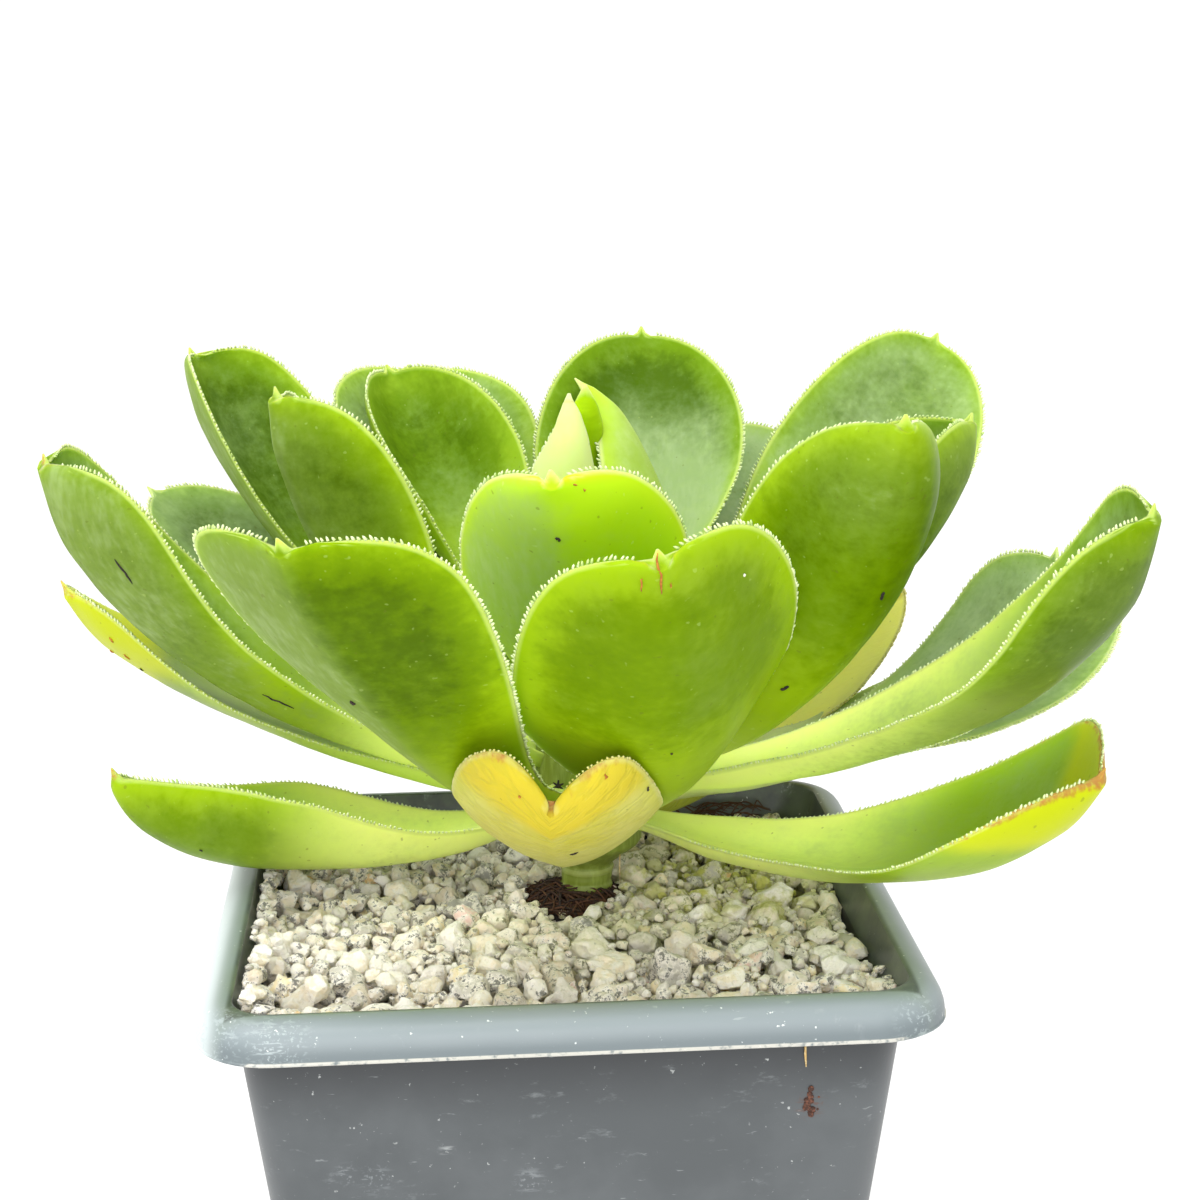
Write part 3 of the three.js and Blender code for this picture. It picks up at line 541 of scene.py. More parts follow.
def crushed_stone():
    """Crushed granite and pumice: rough, dusty, cream and grey, with black mica in some stones,
    clear quartz in others, and green algae where the bed stays damp."""
    material, tree = new_material("crushed_granite")
    place = place_mm(tree)
    kind, tone, damp = (
        add(tree, "Attribute", attribute_name=key).outputs["Fac"] for key in ("kind", "tone", "damp")
    )
    sorts = add(tree, "ValToRGB", (kind,))
    sorts.color_ramp.interpolation = "CONSTANT"
    stops = sorts.color_ramp.elements
    while len(stops) < len(STONE_COLOURS):
        stops.new(1.0)
    for stop, (start, hex_colour) in zip(stops, STONE_COLOURS):
        stop.position = start
        stop.color = linear(hex_colour)

    crystals = add(tree, "TexNoise", (place, 1 / 0.55, 4, 0.7))
    flakes = add(tree, "TexNoise", (place, 1 / 0.42, 4, 0.75))
    patches = add(tree, "TexNoise", (place, 1 / 1.3, 3, 0.6))
    stain = add(tree, "TexNoise", (place, 1 / 2.6, 4, 0.65))
    speckled = blend(tree, flakes, (patches, 1.0))
    granite = blend(tree, kind, (patches, 1.0))
    colour = paint(tree, sorts, [
        ("#fff9ee", 0.85, (patches, 0.4, 0.56)),
        ("#b2a88e", 0.35, (crystals, 0.44, 0.3)),
        ("#b3a27e", 0.35, (stain, 0.62, 0.8)),
        ("#3d4144", 0.8, (speckled, 1.04, 1.16), (granite, 0.94, 1.1)),
        ("#c6c668", 1.0, damp, (stain, 0.36, 0.6)),
        ("#7d786b", 0.34, (tone, 0.3, 0.0)),
    ])
    relief = blend(tree, crystals, (flakes, 0.6))
    finish(
        tree, Base_Color=colour, Roughness=add(tree, "MapRange", (kind, 0.7, 0.74, 0.85, 0.5), **SOFT),
        Normal=add(tree, "Bump", {"Height": relief, "Strength": 0.85, "Distance": 0.5 * MM}), IOR=1.54,
        Subsurface_Weight=0.25, Subsurface_Scale=1.0 * MM, Subsurface_Radius=(1.0, 0.9, 0.7),
    )
    return material


def loam():
    """Damp growing mix: dark, crumbly and matt."""
    material, tree = new_material("damp_growing_mix")
    crumbs = add(tree, "TexNoise", (place_mm(tree), 1 / 1.6, 6, 0.7))
    finish(
        tree, Base_Color=paint(tree, "#2b1f17", [("#5a4433", 1.0, (crumbs, 0.45, 0.7))]), Roughness=0.9,
        Normal=add(tree, "Bump", {"Height": crumbs, "Strength": 0.8, "Distance": 0.6 * MM}),
    )
    return material


def coir_fibre():
    """Coconut coir, teased and pressed: dull red-brown fibres over a nearly black core."""
    material, tree = new_material("pressed_coir")
    tone = add(tree, "Attribute", attribute_name="tone").outputs["Fac"]
    dust = add(tree, "TexNoise", (place_mm(tree), 1 / 0.5, 4, 0.6))
    colour = paint(tree, "#150c07", [
        ("#4d2c12", 1.0, (tone, 0.1, 1.0)),
        ("#734c2c", 0.3, (dust, 0.6, 0.8)),
    ])
    bump = add(tree, "Bump", {"Height": dust, "Strength": 0.6, "Distance": 0.3 * MM})
    finish(tree, Base_Color=colour, Roughness=0.75, Normal=bump)
    return material


def dry_scrap(name, hex_dark, hex_light):
    """Dry plant scraps, such as bark crumbs and straw: matt, with lighter patches in their grain."""
    material, tree = new_material(name)
    grain = add(tree, "TexNoise", (place_mm(tree), 1 / 0.4, 3, 0.6))
    colour = paint(tree, hex_dark, [(hex_light, 1.0, (grain, 0.4, 0.7))])
    finish(tree, Base_Color=colour, Roughness=0.8)
    return material


# ---------------------------------------------------------------- camera, light and floor

CAMERA = {
    "place": (-13.0, -266.0, 182.5), "yaw": 3.99, "pitch": 13.28, "roll": 0.67,
    "focal_px": 2356.0, "frame_px": 1200.0, "sensor": 36.0,
}


def make_camera():
    """Stands where the photograph was taken: a little above the rosette, looking down on it."""
    yaw, pitch, roll = (math.radians(CAMERA[key]) for key in ("yaw", "pitch", "roll"))
    ahead = Vector((math.sin(yaw) * math.cos(pitch), math.cos(yaw) * math.cos(pitch), -math.sin(pitch)))
    level = Vector((math.cos(yaw), -math.sin(yaw), 0.0))
    down = ahead.cross(level)
    right = math.cos(roll) * level + math.sin(roll) * down
    up = math.sin(roll) * level - math.cos(roll) * down
    data = bpy.data.cameras.new("photo_camera")
    data.sensor_width = CAMERA["sensor"]
    data.lens = CAMERA["sensor"] * CAMERA["focal_px"] / CAMERA["frame_px"]
    data.clip_start = 0.01
    camera = bpy.data.objects.new("photo_camera", data)
    turn = Matrix((right, up, -ahead)).transposed().to_4x4()
    camera.matrix_world = Matrix.Translation(Vector(CAMERA["place"]) * MM) @ turn
    bpy.context.scene.collection.objects.link(camera)
    bpy.context.scene.camera = camera


# Each soft box by its place and what it is aimed at in metres, its side in metres and its power.
SOFT_BOXES = {
    "sky_box": ((-0.25, -0.2, 0.95), (0, 0, 0.1), 0.7, 5.9),
    "front_box": ((-0.15, -1.1, 0.42), (0, 0, 0.09), 0.9, 8.6),
}
FLOOR_HALF = 4.0  # metres
ROOM_LIGHT = 1.1
FLOOR_GLOW = 0.66


def make_studio():
    """A white room: soft light from all round, and a large soft box above and one in front."""
    scene = bpy.context.scene
    world = bpy.data.worlds.new("white_room")
    world.use_nodes = True
    background = world.node_tree.nodes["Background"]
    background.inputs["Color"].default_value = linear("#ffffff")
    background.inputs["Strength"].default_value = ROOM_LIGHT
    scene.world = world
    for name, (place, aim, side, power) in SOFT_BOXES.items():
        data = bpy.data.lights.new(name, "AREA")
        data.shape = "SQUARE"
        data.size = side
        data.energy = power
        lamp = bpy.data.objects.new(name, data)
        turn = (Vector(aim) - Vector(place)).to_track_quat("-Z", "Y").to_matrix().to_4x4()
        lamp.matrix_world = Matrix.Translation(Vector(place)) @ turn
        scene.collection.objects.link(lamp)

    mesh = bpy.data.meshes.new("white_floor")
    corners = [(FLOOR_HALF * x, FLOOR_HALF * y, 0) for x, y in ((-1, -1), (1, -1), (1, 1), (-1, 1))]
    mesh.from_pydata(corners, [], [(0, 1, 2, 3)])
    material, tree = new_material("matt_white_paper")
    finish(
        tree, Base_Color="#a0a0a0", Roughness=0.9, Specular_IOR_Level=0.2,
        Emission_Color="#ffffff", Emission_Strength=FLOOR_GLOW,
    )
    mesh.materials.append(material)
    floor = bpy.data.objects.new("white_floor", mesh)
    scene.collection.objects.link(floor)
    scene.view_settings.view_transform = "Standard"


# ---------------------------------------------------------------- leaves

LEAF_ROWS = 66
LEAF_COLS = 11
RIM_STEPS = 3
SECTION_STEPS = 40
LOBE = {"left_reach": 0.8, "right_reach": 0.5, "midrib_depth": 0.45}  # shares of half width and notch
LEAF_APART, FACE_APART = 40.0, 19.0  # mm between the patterns of two leaves, and of a leaf's two faces


def stem_radius(z):
    foot, crown = STEM["radius"], STEM["crown_radius"]
    wide = foot + (crown - foot) * smooth((z - STEM["flare"][0]) / (STEM["flare"][1] - STEM["flare"][0]))
    taper = np.clip((z - STEM["taper"][0]) / (STEM["taper"][1] - STEM["taper"][0]), 0, 1)
    return wide + (STEM["tip_radius"] - crown) * taper


def leaf_half(leaf, s):
    """Half width of the blade at the shares s of its length, down to the short point at the tip."""
    widest, blunt, start = leaf["widest"], leaf["blunt"], LEAF["blade_start"]
    share = LEAF["point"] / leaf["length"]
    x = np.clip(s / (1 - 0.6 * share), 0, 1)
    stalk = LEAF["stalk_share"] * (0.5 + 0.5 * smooth(x / LEAF["stalk_end"]))
    opening = stalk + (1 - LEAF["stalk_share"]) * smooth((x - start) / (widest - start))
    closing = np.maximum(0, 1 - np.clip((x - widest) / (1 - widest), 0, 1) ** 2.2) ** blunt
    blade = leaf["width"] / 2 * np.where(x < widest, opening, closing)

    # The point is counted back from the tip in its own lengths, and spreads into the blade.
    back = (1 - s) / share
    point = LEAF["point_half"] * np.clip(back, 0, 1) ** 1.2
    point = point + 1.5 * max(0, 1 - blunt) * np.clip(back - 0.3, 0, 1.3) ** 2
    point = point * smooth(2.6 - back)
    return np.maximum((blade ** 3 + point ** 3) ** (1 / 3), 0.03)


def leaf_thickness(s):
    """Thickness at the midrib: fullest at the stalk's end, and thinner towards both ends."""
    stalk = LEAF["base_thick"] + (LEAF["stalk_thick"] - LEAF["base_thick"]) * smooth(s / LEAF["stalk_end"])
    blade = stalk - (LEAF["stalk_thick"] - LEAF["mid_thick"]) * smooth((s - 0.2) / 0.4)
    return blade * (1 - 0.55 * smooth((s - 0.85) / 0.15))


def even_rows(leaf):
    """Shares of the length for the rows, closer together where the outline turns in at the tip."""
    s = np.linspace(0, 1, 1201)
    half = leaf_half(leaf, s)
    step = np.hypot(np.diff(s) * leaf["length"], 0.8 * np.diff(half))
    travelled = np.concatenate([[0], np.cumsum(step)])
    return np.interp(np.linspace(0, travelled[-1], LEAF_ROWS + 1), travelled, s)


def leaf_frames(leaf, s):
    """Midrib points, and the directions along, across and up, at the shares s of the length."""
    fine = np.linspace(0, 1, 401)
    heading = math.radians(leaf["heading"])

    def directions(share):
        climb = np.radians(leaf["rise"] + (leaf["rise_end"] - leaf["rise"]) * share ** leaf["bend"])
        turn = heading + np.radians(leaf["sway"]) * share ** 1.5
        along = np.stack([np.cos(climb) * np.cos(turn), np.cos(climb) * np.sin(turn), np.sin(climb)], -1)
        level = np.stack([-np.sin(turn), np.cos(turn), 0 * turn], -1)
        return along, level

    along, _ = directions(fine)
    steps = (along[1:] + along[:-1]) / 2 * np.diff(fine)[:, None] * leaf["length"]
    stand = stem_radius(leaf["height"]) + LEAF["stem_gap"]
    base = (
        STEM["crown"][0] + stand * math.cos(heading),
        STEM["crown"][1] + stand * math.sin(heading),
        leaf["height"],
    )
    line = np.vstack([np.zeros(3), np.cumsum(steps, 0)]) + base
    midrib = np.stack([np.interp(s, fine, line[:, axis]) for axis in range(3)], -1)
    along, level = directions(s)
    up = np.cross(along, level)
    twist = np.radians(leaf["twist"] * s)[:, None]
    across = np.cos(twist) * level + np.sin(twist) * up
    return midrib, along, across, np.cross(along, across)


def section(leaf, s, half, u):
    """How far each point of a row lies to the side and up: a trough bent by fold and cup, with
    the fold at the midrib rounded over the share `keel` of the half width."""
    grow = (0.4 + 0.6 * smooth(s / 0.5))[:, None]
    fold = np.radians(leaf["fold"]) * grow / (1 - leaf["keel"] / 2)
    cup = np.radians(leaf["cup"]) * grow
    fine = np.linspace(0, 1, SECTION_STEPS + 1)
    angle = fold * smooth(fine / leaf["keel"]) + cup * fine
    offsets = []
    for part in (np.cos(angle), np.sin(angle)):
        summed = np.cumsum((part[:, 1:] + part[:, :-1]) / 2, 1)
        travelled = np.concatenate([0 * grow, summed], 1) / SECTION_STEPS
        offsets.append(np.stack([np.interp(np.abs(u), fine, row) for row in travelled]) * half[:, None])
    side, lift = offsets
    return side * np.sign(u), lift


def waves(points, seed, size):
    """A slow, uneven swell over a surface, from -1 to 1."""
    random = np.random.default_rng(seed)
    total = np.zeros(points.shape[:-1])
    for _ in range(4):
        direction = unit(random.normal(size=3))
        turns = points @ direction * (2 * math.pi / size) * random.uniform(0.7, 1.4)
        total += np.sin(turns + random.uniform(0, 6.3))
    return total / 4


def leaf_surface(leaf):
    """Upper and lower face as grids of points, with the upper face's normals and the rows' shares."""
    s = even_rows(leaf)
    half = leaf_half(leaf, s)
    v = np.linspace(-1, 1, 2 * LEAF_COLS + 1)
    u = 0.65 * v + 0.35 * np.sin(v * math.pi / 2)
    midrib, along, across, up = leaf_frames(leaf, s)
    side, lift = section(leaf, s, half, u)

    # The left half can hang down, and the end can part in two lobes.
    drooping = smooth((s - 0.15) / 0.3) * smooth((1 - s) / 0.25)
    lift = lift * (1 - leaf["droop"] * drooping[:, None] * (u > 0))
    from_midrib = np.abs(u) * half[:, None] / leaf["width"] * 2
    rising = np.clip(from_midrib / np.where(u > 0, LOBE["left_reach"], LOBE["right_reach"]), 0, 1)
    lobed = np.sin(rising * math.pi / 2) - LOBE["midrib_depth"]
    lobes = leaf["notch"] * smooth((s - 0.68) / 0.32)[:, None] * lobed
    upper = midrib[:, None] + side[..., None] * across[:, None] + lift[..., None] * up[:, None]
    upper = upper + lobes[..., None] * along[:, None]

    normal = unit(np.cross(np.gradient(upper, axis=0), np.gradient(upper, axis=1)))
    swell = LEAF["swell"] * waves(upper, leaf["number"], 17.0)
    swell = swell + LEAF["ripple"] * waves(upper, leaf["number"] + 50, 6.0)
    upper = upper + normal * (swell * smooth(half / 4)[:, None])[..., None]

    # The blade is thin at its margin and thickest along its midrib, which stands out below.
    edge = LEAF["edge_thick"]
    thick = edge + (leaf_thickness(s)[:, None] - edge) * (1 - np.abs(u)[None] ** 1.6)
    near_midrib = np.exp(-((u[None] * half[:, None]) / 0.8) ** 2)
    ridge = LEAF["ridge"] * near_midrib * smooth((s - 0.15) / 0.3)[:, None]
    thick = np.minimum(thick + ridge * smooth(half / 3)[:, None], 0.12 + 1.1 * half[:, None])
    return s, half, u, upper, upper - normal * thick[..., None], normal


def margin_distance(leaf, s, u, half):
    """Distance from each point of the flattened leaf to its outline, in mm."""
    outline = np.linspace(0, 1, 500)
    along = (s[:, None] * leaf["length"])[..., None] - outline * leaf["length"]
    across = (np.abs(u)[None] * half[:, None])[..., None] - leaf_half(leaf, outline)
    return np.hypot(along, across).min(-1)


def leaf_blade(leaf):
    """The leaf as a closed skin: each row runs over the upper face, round the rim and back below."""
    s, half, u, upper, lower, _ = leaf_surface(leaf)
    angles = (np.arange(RIM_STEPS) + 1) / (RIM_STEPS + 1) * math.pi
    rims = []
    for column, inner in ((-1, -2), (0, 1)):
        middle = (upper[:, column] + lower[:, column]) / 2
        arm = upper[:, column] - middle
        out = unit(upper[:, column] - upper[:, inner]) * np.linalg.norm(arm, axis=-1, keepdims=True) * 0.9
        rims.append(np.stack([middle + arm * math.cos(a) + out * math.sin(a) for a in angles], 1))
    rings = np.concatenate([upper, rims[0], lower[:, ::-1], rims[1][:, ::-1]], 1)
    rim = np.ones(RIM_STEPS)
    ring_u = np.concatenate([u, rim, u[::-1], -rim])
    outer = np.concatenate([0 * u, 0.5 * rim, 0 * u + 1, 0.5 * rim])

    # The base reaches into the stem, so that leaf and stem join.
    _, along, _, _ = leaf_frames(leaf, np.array([0.0]))
    root = rings[:1] - along[0] * (LEAF["stem_gap"] + LEAF["root"])
    rings = np.concatenate([root, rings])
    s = np.concatenate([[0.0], s])
    half = np.concatenate([half[:1], half])
    faces = [face[::-1] for face in skin_faces(len(rings), rings.shape[1])]

    edge = margin_distance(leaf, s, ring_u, half)
    edge[:, np.abs(ring_u) == 1] = 0
    masks = leaf_masks(leaf, s[:, None], ring_u[None], outer[None], half[:, None], edge)
    return rings.reshape(-1, 3), faces, masks


def leaf_masks(leaf, s, u, outer, half, edge):
    """What the skin's material reads at each point."""
    across_mm = u * half
    along_mm = s * leaf["length"]
    apart_mm = leaf["number"] * LEAF_APART + outer * FACE_APART
    place = np.stack(np.broadcast_arrays(across_mm, along_mm, apart_mm), -1)
    right, left = leaf["bloom_out"]
    sided = right + (left - right) * smooth(across_mm / 5 + 0.5)
    inner = leaf["bloom_in"] * (0.85 + 0.3 * waves(place, leaf["number"] + 9, 22.0))
    bloom = inner * (1 - outer) + sided * outer
    for side, spot_mm, spot_s, size, amount in leaf["spots"]:
        away = np.hypot(across_mm - spot_mm, (s - spot_s) * leaf["length"] * 0.7) / size
        bloom = bloom + amount * np.exp(-away ** 2) * np.abs(outer - 1 + side)
    bloom = bloom * smooth((s - 0.12) / 0.3) * (0.5 + 0.5 * smooth(edge / 2.5))
    # painted glow: brighter at the margin, at the base and on young leaves, partly the leaf's own colour and
    # partly painted light for light shining through and for the shade under the rosette
    thin = leaf["fresh_and_glow"] + 0.6 * smooth(1 - edge / 6.0) + 1.2 * smooth((0.74 - s) / 0.45)
    from_tip = 1 - s
    ripe = smooth(1.6 * (1 - from_tip / leaf["ripe"])) if leaf["ripe"] else 0 * s
    at_margin = 0.8 * smooth(1 - edge / 1.5) + 0.4 * smooth(1 - from_tip / 0.2)
    at_point = smooth((2.4 - from_tip * leaf["length"]) / 1.4) * smooth((0.7 - np.abs(across_mm)) / 0.5)
    blush = leaf["blush"] * at_margin * smooth((s - 0.3) / 0.4) + leaf["rusty_tip"] * at_point
    pale = leaf["pale"] * smooth((s - 0.2) / 0.3)
    # painted light in part: on leaves that lie in shade the pale stalk reaches far up, to lift the shade
    stalk = leaf["stalk"] * smooth((leaf["stalk_end"] - s) / (0.55 * leaf["stalk_end"]))
    plain = {
        "edge_mm": edge, "outer": outer, "bloom": bloom, "thin": thin, "ripe": ripe, "blush": blush,
        "pale": pale, "stalk": stalk,
    }
    shape = place.shape[:-1]
    masks = {key: np.broadcast_to(value, shape).ravel() for key, value in plain.items()}
    masks["leaf_mm"] = place.reshape(-1, 3)
    return masks


HAIR = {"pitch": 0.56, "length": 0.52, "radius": 0.17, "lean": 0.55, "first": 0.14, "last_half": 1.9}


def hair_lines(leaf):
    """Where the hairs stand on both margins, which way they lean and how long they are. They start
    at a share of the length, and end where the blade gets narrower than twice last_half in mm."""
    random = np.random.default_rng(1000 + leaf["number"])
    s, _, _, upper, lower, normal = leaf_surface(leaf)
    shares = np.linspace(0, 1, 2001)
    end = shares[leaf_half(leaf, shares) > HAIR["last_half"]][-1]
    roots, leans, lengths = [], [], []
    for column, inner in ((-1, -3), (0, 2)):
        middle = (upper[:, column] + lower[:, column]) / 2
        ahead = unit(np.gradient(middle, axis=0))
        out = unit(upper[:, column] - upper[:, inner])
        out = unit(out - ahead * (out * ahead).sum(-1, keepdims=True))
        step = np.linalg.norm(np.diff(middle, axis=0), axis=-1)
        travelled = np.concatenate([[0], np.cumsum(step)])
        first, last = np.interp((HAIR["first"], end), s, travelled)
        spots = np.arange(first, last, HAIR["pitch"])
        spots = spots + random.uniform(-0.12, 0.12, len(spots))
        place, outward, forward, upward = (
            np.stack([np.interp(spots, travelled, field[:, k]) for k in range(3)], -1)
            for field in (middle, out, ahead, normal[:, column])
        )
        outward = unit(outward)
        grown = 0.45 + 0.55 * smooth(np.interp(spots, travelled, s) / 0.45)
        roots.append(place + outward * 0.1)
        leans.append(unit(
            outward
            + HAIR["lean"] * unit(forward)
            + random.normal(0, 0.12, (len(spots), 3))
            + upward * random.uniform(-0.15, 0.3, (len(spots), 1))
        ))
        lengths.append(leaf["hair"] * HAIR["length"] * grown * random.uniform(0.7, 1.25, len(spots)))
    return np.concatenate(roots), np.concatenate(leans), np.concatenate(lengths)


def leaf_hairs(leaf):
    """A row of stiff tapering hairs along both margins, leaning towards the tip."""
    root, lean, length = hair_lines(leaf)
    helper = np.where(np.abs(lean[:, 2:]) < 0.9, [[0.0, 0.0, 1.0]], [[1.0, 0.0, 0.0]])
    first = unit(np.cross(lean, helper))
    second = np.cross(lean, first)
    angles = round_angles(4)[None, :, None]
    around = np.cos(angles) * first[:, None] + np.sin(angles) * second[:, None]
    foot = root[:, None] + HAIR["radius"] * around
    waist = root[:, None] + 0.65 * (length[:, None] * lean)[:, None] + 0.72 * HAIR["radius"] * around
    tip = (root + length[:, None] * lean)[:, None]
    points = np.concatenate([foot, waist, tip], 1).reshape(-1, 3)
    pattern = [(3, 2, 1, 0)]
    for i in range(4):
        j = (i + 1) % 4
        pattern.append((i, j, 4 + j, 4 + i))
        pattern.append((4 + i, 4 + j, 8))
    faces = [tuple(9 * k + corner for corner in face) for k in range(len(root)) for face in pattern]
    return points, faces


def make_leaves():
    """Every leaf as a blade and its hairs. The blades are given back, for what lies on them."""
    skins = {
        key: leaf_skin("living_leaf_" + key, colours, 1.0 if key == "yellow" else 0.0)
        for key, colours in LEAF_COLOURS.items()
    }
    clear = leaf_hair("clear_margin_hair", "#d8e4ac", "#adc672")
    yellowed = leaf_hair("yellowed_margin_hair", "#d9d48c", "#c4bc62")
    blades = {}
    for number, (name, sizes) in enumerate(LEAF_SHAPES.items()):
        leaf = {**PLAIN_LOOK, **LEAF_LOOKS.get(name, {}), **dict(zip(LEAF_COLUMNS, sizes)), "number": number}
        slot = "leaf_" + leaf["finish"].replace("young", "green")
        points, faces, masks = leaf_blade(leaf)
        skin = [skins[leaf["finish"]]]
        blades[name] = make_piece(name + "_blade", points, faces, skin, slot, [name], attributes=masks)
        points, faces = leaf_hairs(leaf)
        hair = yellowed if leaf["finish"] == "yellow" else clear
        make_piece(name + "_hairs", points, faces, [hair], slot)
    return blades


# ---------------------------------------------------------------- pot

def rounded_square(half, corner, z, steps=10):
    """A square with round corners, counter-clockwise from above."""
    angles = (np.arange(4)[:, None] + np.arange(steps + 1) / steps) * (math.pi / 2)
    inset = half - corner
    cx = inset * np.array([1, -1, -1, 1])[:, None]
    cy = inset * np.array([1, 1, -1, -1])[:, None]
    x, y = cx + corner * np.cos(angles), cy + corner * np.sin(angles)
    return np.stack([x.ravel(), y.ravel(), np.full(x.size, z)], -1)


def wall_half(z):
    return POT["base_half"] + (POT["mouth_half"] - 0.1 - POT["base_half"]) * z / LIP_BOTTOM


def wall_corner(z):
    return POT["base_corner"] + (POT["wall_corner"] - POT["base_corner"]) * z / LIP_BOTTOM


def inside_half(z):
    """Half width of the inside: straight with the wall, and opening under the lip."""
    straight = wall_half(min(z, LIP_BOTTOM)) - POT["wall"]
    opening = min(1, max(0, (z - LIP_BOTTOM) / (POT["lip_height"] - 0.8)))
    return straight + (POT["mouth_half"] - straight) * opening


def pot_profile():
    """Half width, corner radius and height, from the underside out, up, over the lip and down."""
    base, corner = POT["base_half"], POT["base_corner"]
    mouth, mouth_corner = POT["mouth_half"], POT["mouth_corner"]
    lip, lip_corner, edge = POT["lip_half"], POT["lip_corner"], LIP_BOTTOM
    profile = []
    for a in np.linspace(0, math.pi / 2, 5):
        profile.append((base - 1 + math.sin(a), corner - 1 + math.sin(a), 1 - math.cos(a)))
    for z in np.linspace(6, edge, 12):
        profile.append((wall_half(z), wall_corner(z), z))
    profile += [  # the hollow under the lip and the lip's lower edge, with a fine bead
        (36.1, 6.0, 82.4), (36.5, 6.2, 83.1), (37.3, 6.8, 83.4), (38.4, 7.3, 83.2), (38.9, 7.5, 82.6),
        (39.0, 7.5, 81.2), (39.15, 7.6, edge + 0.05), (39.4, 7.8, edge - 0.05),
        (lip - 0.02, lip_corner, edge - 0.03), (lip + 0.14, lip_corner + 0.1, edge + 0.08),
        (lip + 0.16, lip_corner + 0.1, edge + 0.24), (lip + 0.02, lip_corner, edge + 0.36),
    ]
    roll = lip - mouth
    for a in np.linspace(0.11, math.pi / 2, 15):
        half = mouth + roll * max(0, math.cos(a)) ** 0.8 + 0.3 * math.sin(a)
        round_off = mouth_corner + (lip_corner - mouth_corner) * (half - mouth) / roll
        profile.append((half, round_off, edge + POT["lip_height"] * math.sin(a)))
    for further, below in ((0.08, 0.12), (0, 0.4), (0, 0.8)):
        profile.append((mouth + further, mouth_corner, POT["height"] - below))
    for z in np.linspace(edge, POT["floor"] + 1, 8):
        profile.append((inside_half(z), wall_corner(z) - POT["wall"], z))
    profile.append((inside_half(POT["floor"]) - 0.9, corner - POT["wall"] - 0.9, POT["floor"]))
    return profile


def drain_cutters():
    """Four rods where the drain holes go."""
    mesh = bmesh.new()
    for sx in (-1, 1):
        for sy in (-1, 1):
            spot = Vector((sx * POT["drain_offset"], sy * POT["drain_offset"], POT["floor"] / 2)) * MM
            bmesh.ops.create_cone(
                mesh, cap_ends=True, segments=40, radius1=POT["drain_radius"] * MM,
                radius2=POT["drain_radius"] * MM, depth=6 * MM, matrix=Matrix.Translation(spot),
            )
    data = bpy.data.meshes.new("drain_cutters")
    mesh.to_mesh(data)
    mesh.free()
    return bpy.data.objects.new("drain_cutters", data)


LIP_CREASE = 38  # degrees between faces over which an edge of the pot looks sharp


def make_pot():
    """The pot is drawn as one closed skin, and four drain holes are cut through its floor."""
    rings = [rounded_square(*level) for level in pot_profile()]
    faces = skin_faces(len(rings), len(rings[0]))
    plastic = [moulded_polypropylene()]
    pot = make_piece("moulded_pot", np.concatenate(rings), faces, plastic, "pot_plastic", ["pot"])
    cutters = drain_cutters()
    bpy.context.scene.collection.objects.link(cutters)
    cut = pot.modifiers.new("drain_holes", "BOOLEAN")
    cut.object = cutters
    cut.operation = "DIFFERENCE"
    cut.solver = "EXACT"
    bpy.context.view_layer.update()
    finished = bpy.data.meshes.new_from_object(pot.evaluated_get(bpy.context.evaluated_depsgraph_get()))
    pot.modifiers.clear()
    pot.data = finished
    bpy.data.objects.remove(cutters)
    pot.data.shade_smooth()
    pot.data.set_sharp_from_angle(angle=math.radians(LIP_CREASE))


# ---------------------------------------------------------------- grit

# Smallest and largest radius in mm, tries, whether they line the wall, and how far in mm their tops
# may pass the bed's level. The first ones make the layer that the large stones lie on.
STONE_SIZES = [
    (0.9, 1.5, 900, False, -3.2), (1.9, 2.9, 120, False, 0.8), (1.2, 2.1, 420, False, 0.7),
    (0.8, 1.8, 900, True, 0.0), (0.75, 1.4, 1100, False, 0.0), (0.4, 0.75, 1700, False, -0.1),
    (0.4, 0.9, 600, True, 0.0),
]
FIELD_STEP = 0.35  # mm between the points where the bed's height is kept
PLACES_TRIED = 7
LARGE_STONE, MIDDLING_STONE = 1.7, 0.85  # radius in mm over which a stone gets a finer skin
STONE_SINK = 0.35  # how far a stone settles between those below it, as a share of its radius
SLUMP_AT = {"far_corner": (30, 32), "plug": (PLUG["x"], -0.5)}
DAMP_AT = {"right": (21, 12), "front": (-3, -6)}


def near(x, y, spot, spread):
    """1 at a spot of the bed, falling off round it; spread is the square of its reach in mm."""
    return np.exp(-((x - spot[0]) ** 2 + (y - spot[1]) ** 2) / spread)


def grit_level(x, y):
    """How far the bed's top lies over its usual level, in mm: it slumps, and climbs to the left."""
    slump = 0.9 * near(x, y, SLUMP_AT["far_corner"], 110) + 1.9 * near(x, y, SLUMP_AT["plug"], 24)
    level = 0.6 * np.sin(x / 9 + 1) * np.cos(y / 11) - slump
    level = level + 1.5 * smooth((-x - 8) / 20) + 1.5 * smooth((-x - 26) / 8)
    return level + 0.6 * smooth((-y - 20) / 12)


# Knobs and pits of a stone: how many, how sharp, and how high as a share of its radius.
STONE_KNOBS = ((14, 9.0, 0.13), (60, 45.0, 0.08), (150, 160.0, 0.05))
STONE_WEAR = 22  # how sharp the edges between its broken faces stay
STONE_CREASE = 34  # degrees between faces over which an edge of a stone looks sharp
GOLDEN_TURN = math.pi * (1 + 5 ** 0.5)  # spreads the broken faces evenly round a stone


def stone_directions():
    """Unit points and faces of round balls, from coarse to fine."""
    balls = []
    for level in (2, 3, 4):
        mesh = bmesh.new()
        bmesh.ops.create_icosphere(mesh, subdivisions=level, radius=1)
        points = np.array([vertex.co for vertex in mesh.verts])
        faces = [tuple(vertex.index for vertex in face.verts) for face in mesh.faces]
        balls.append((points, faces))
        mesh.free()
    return balls


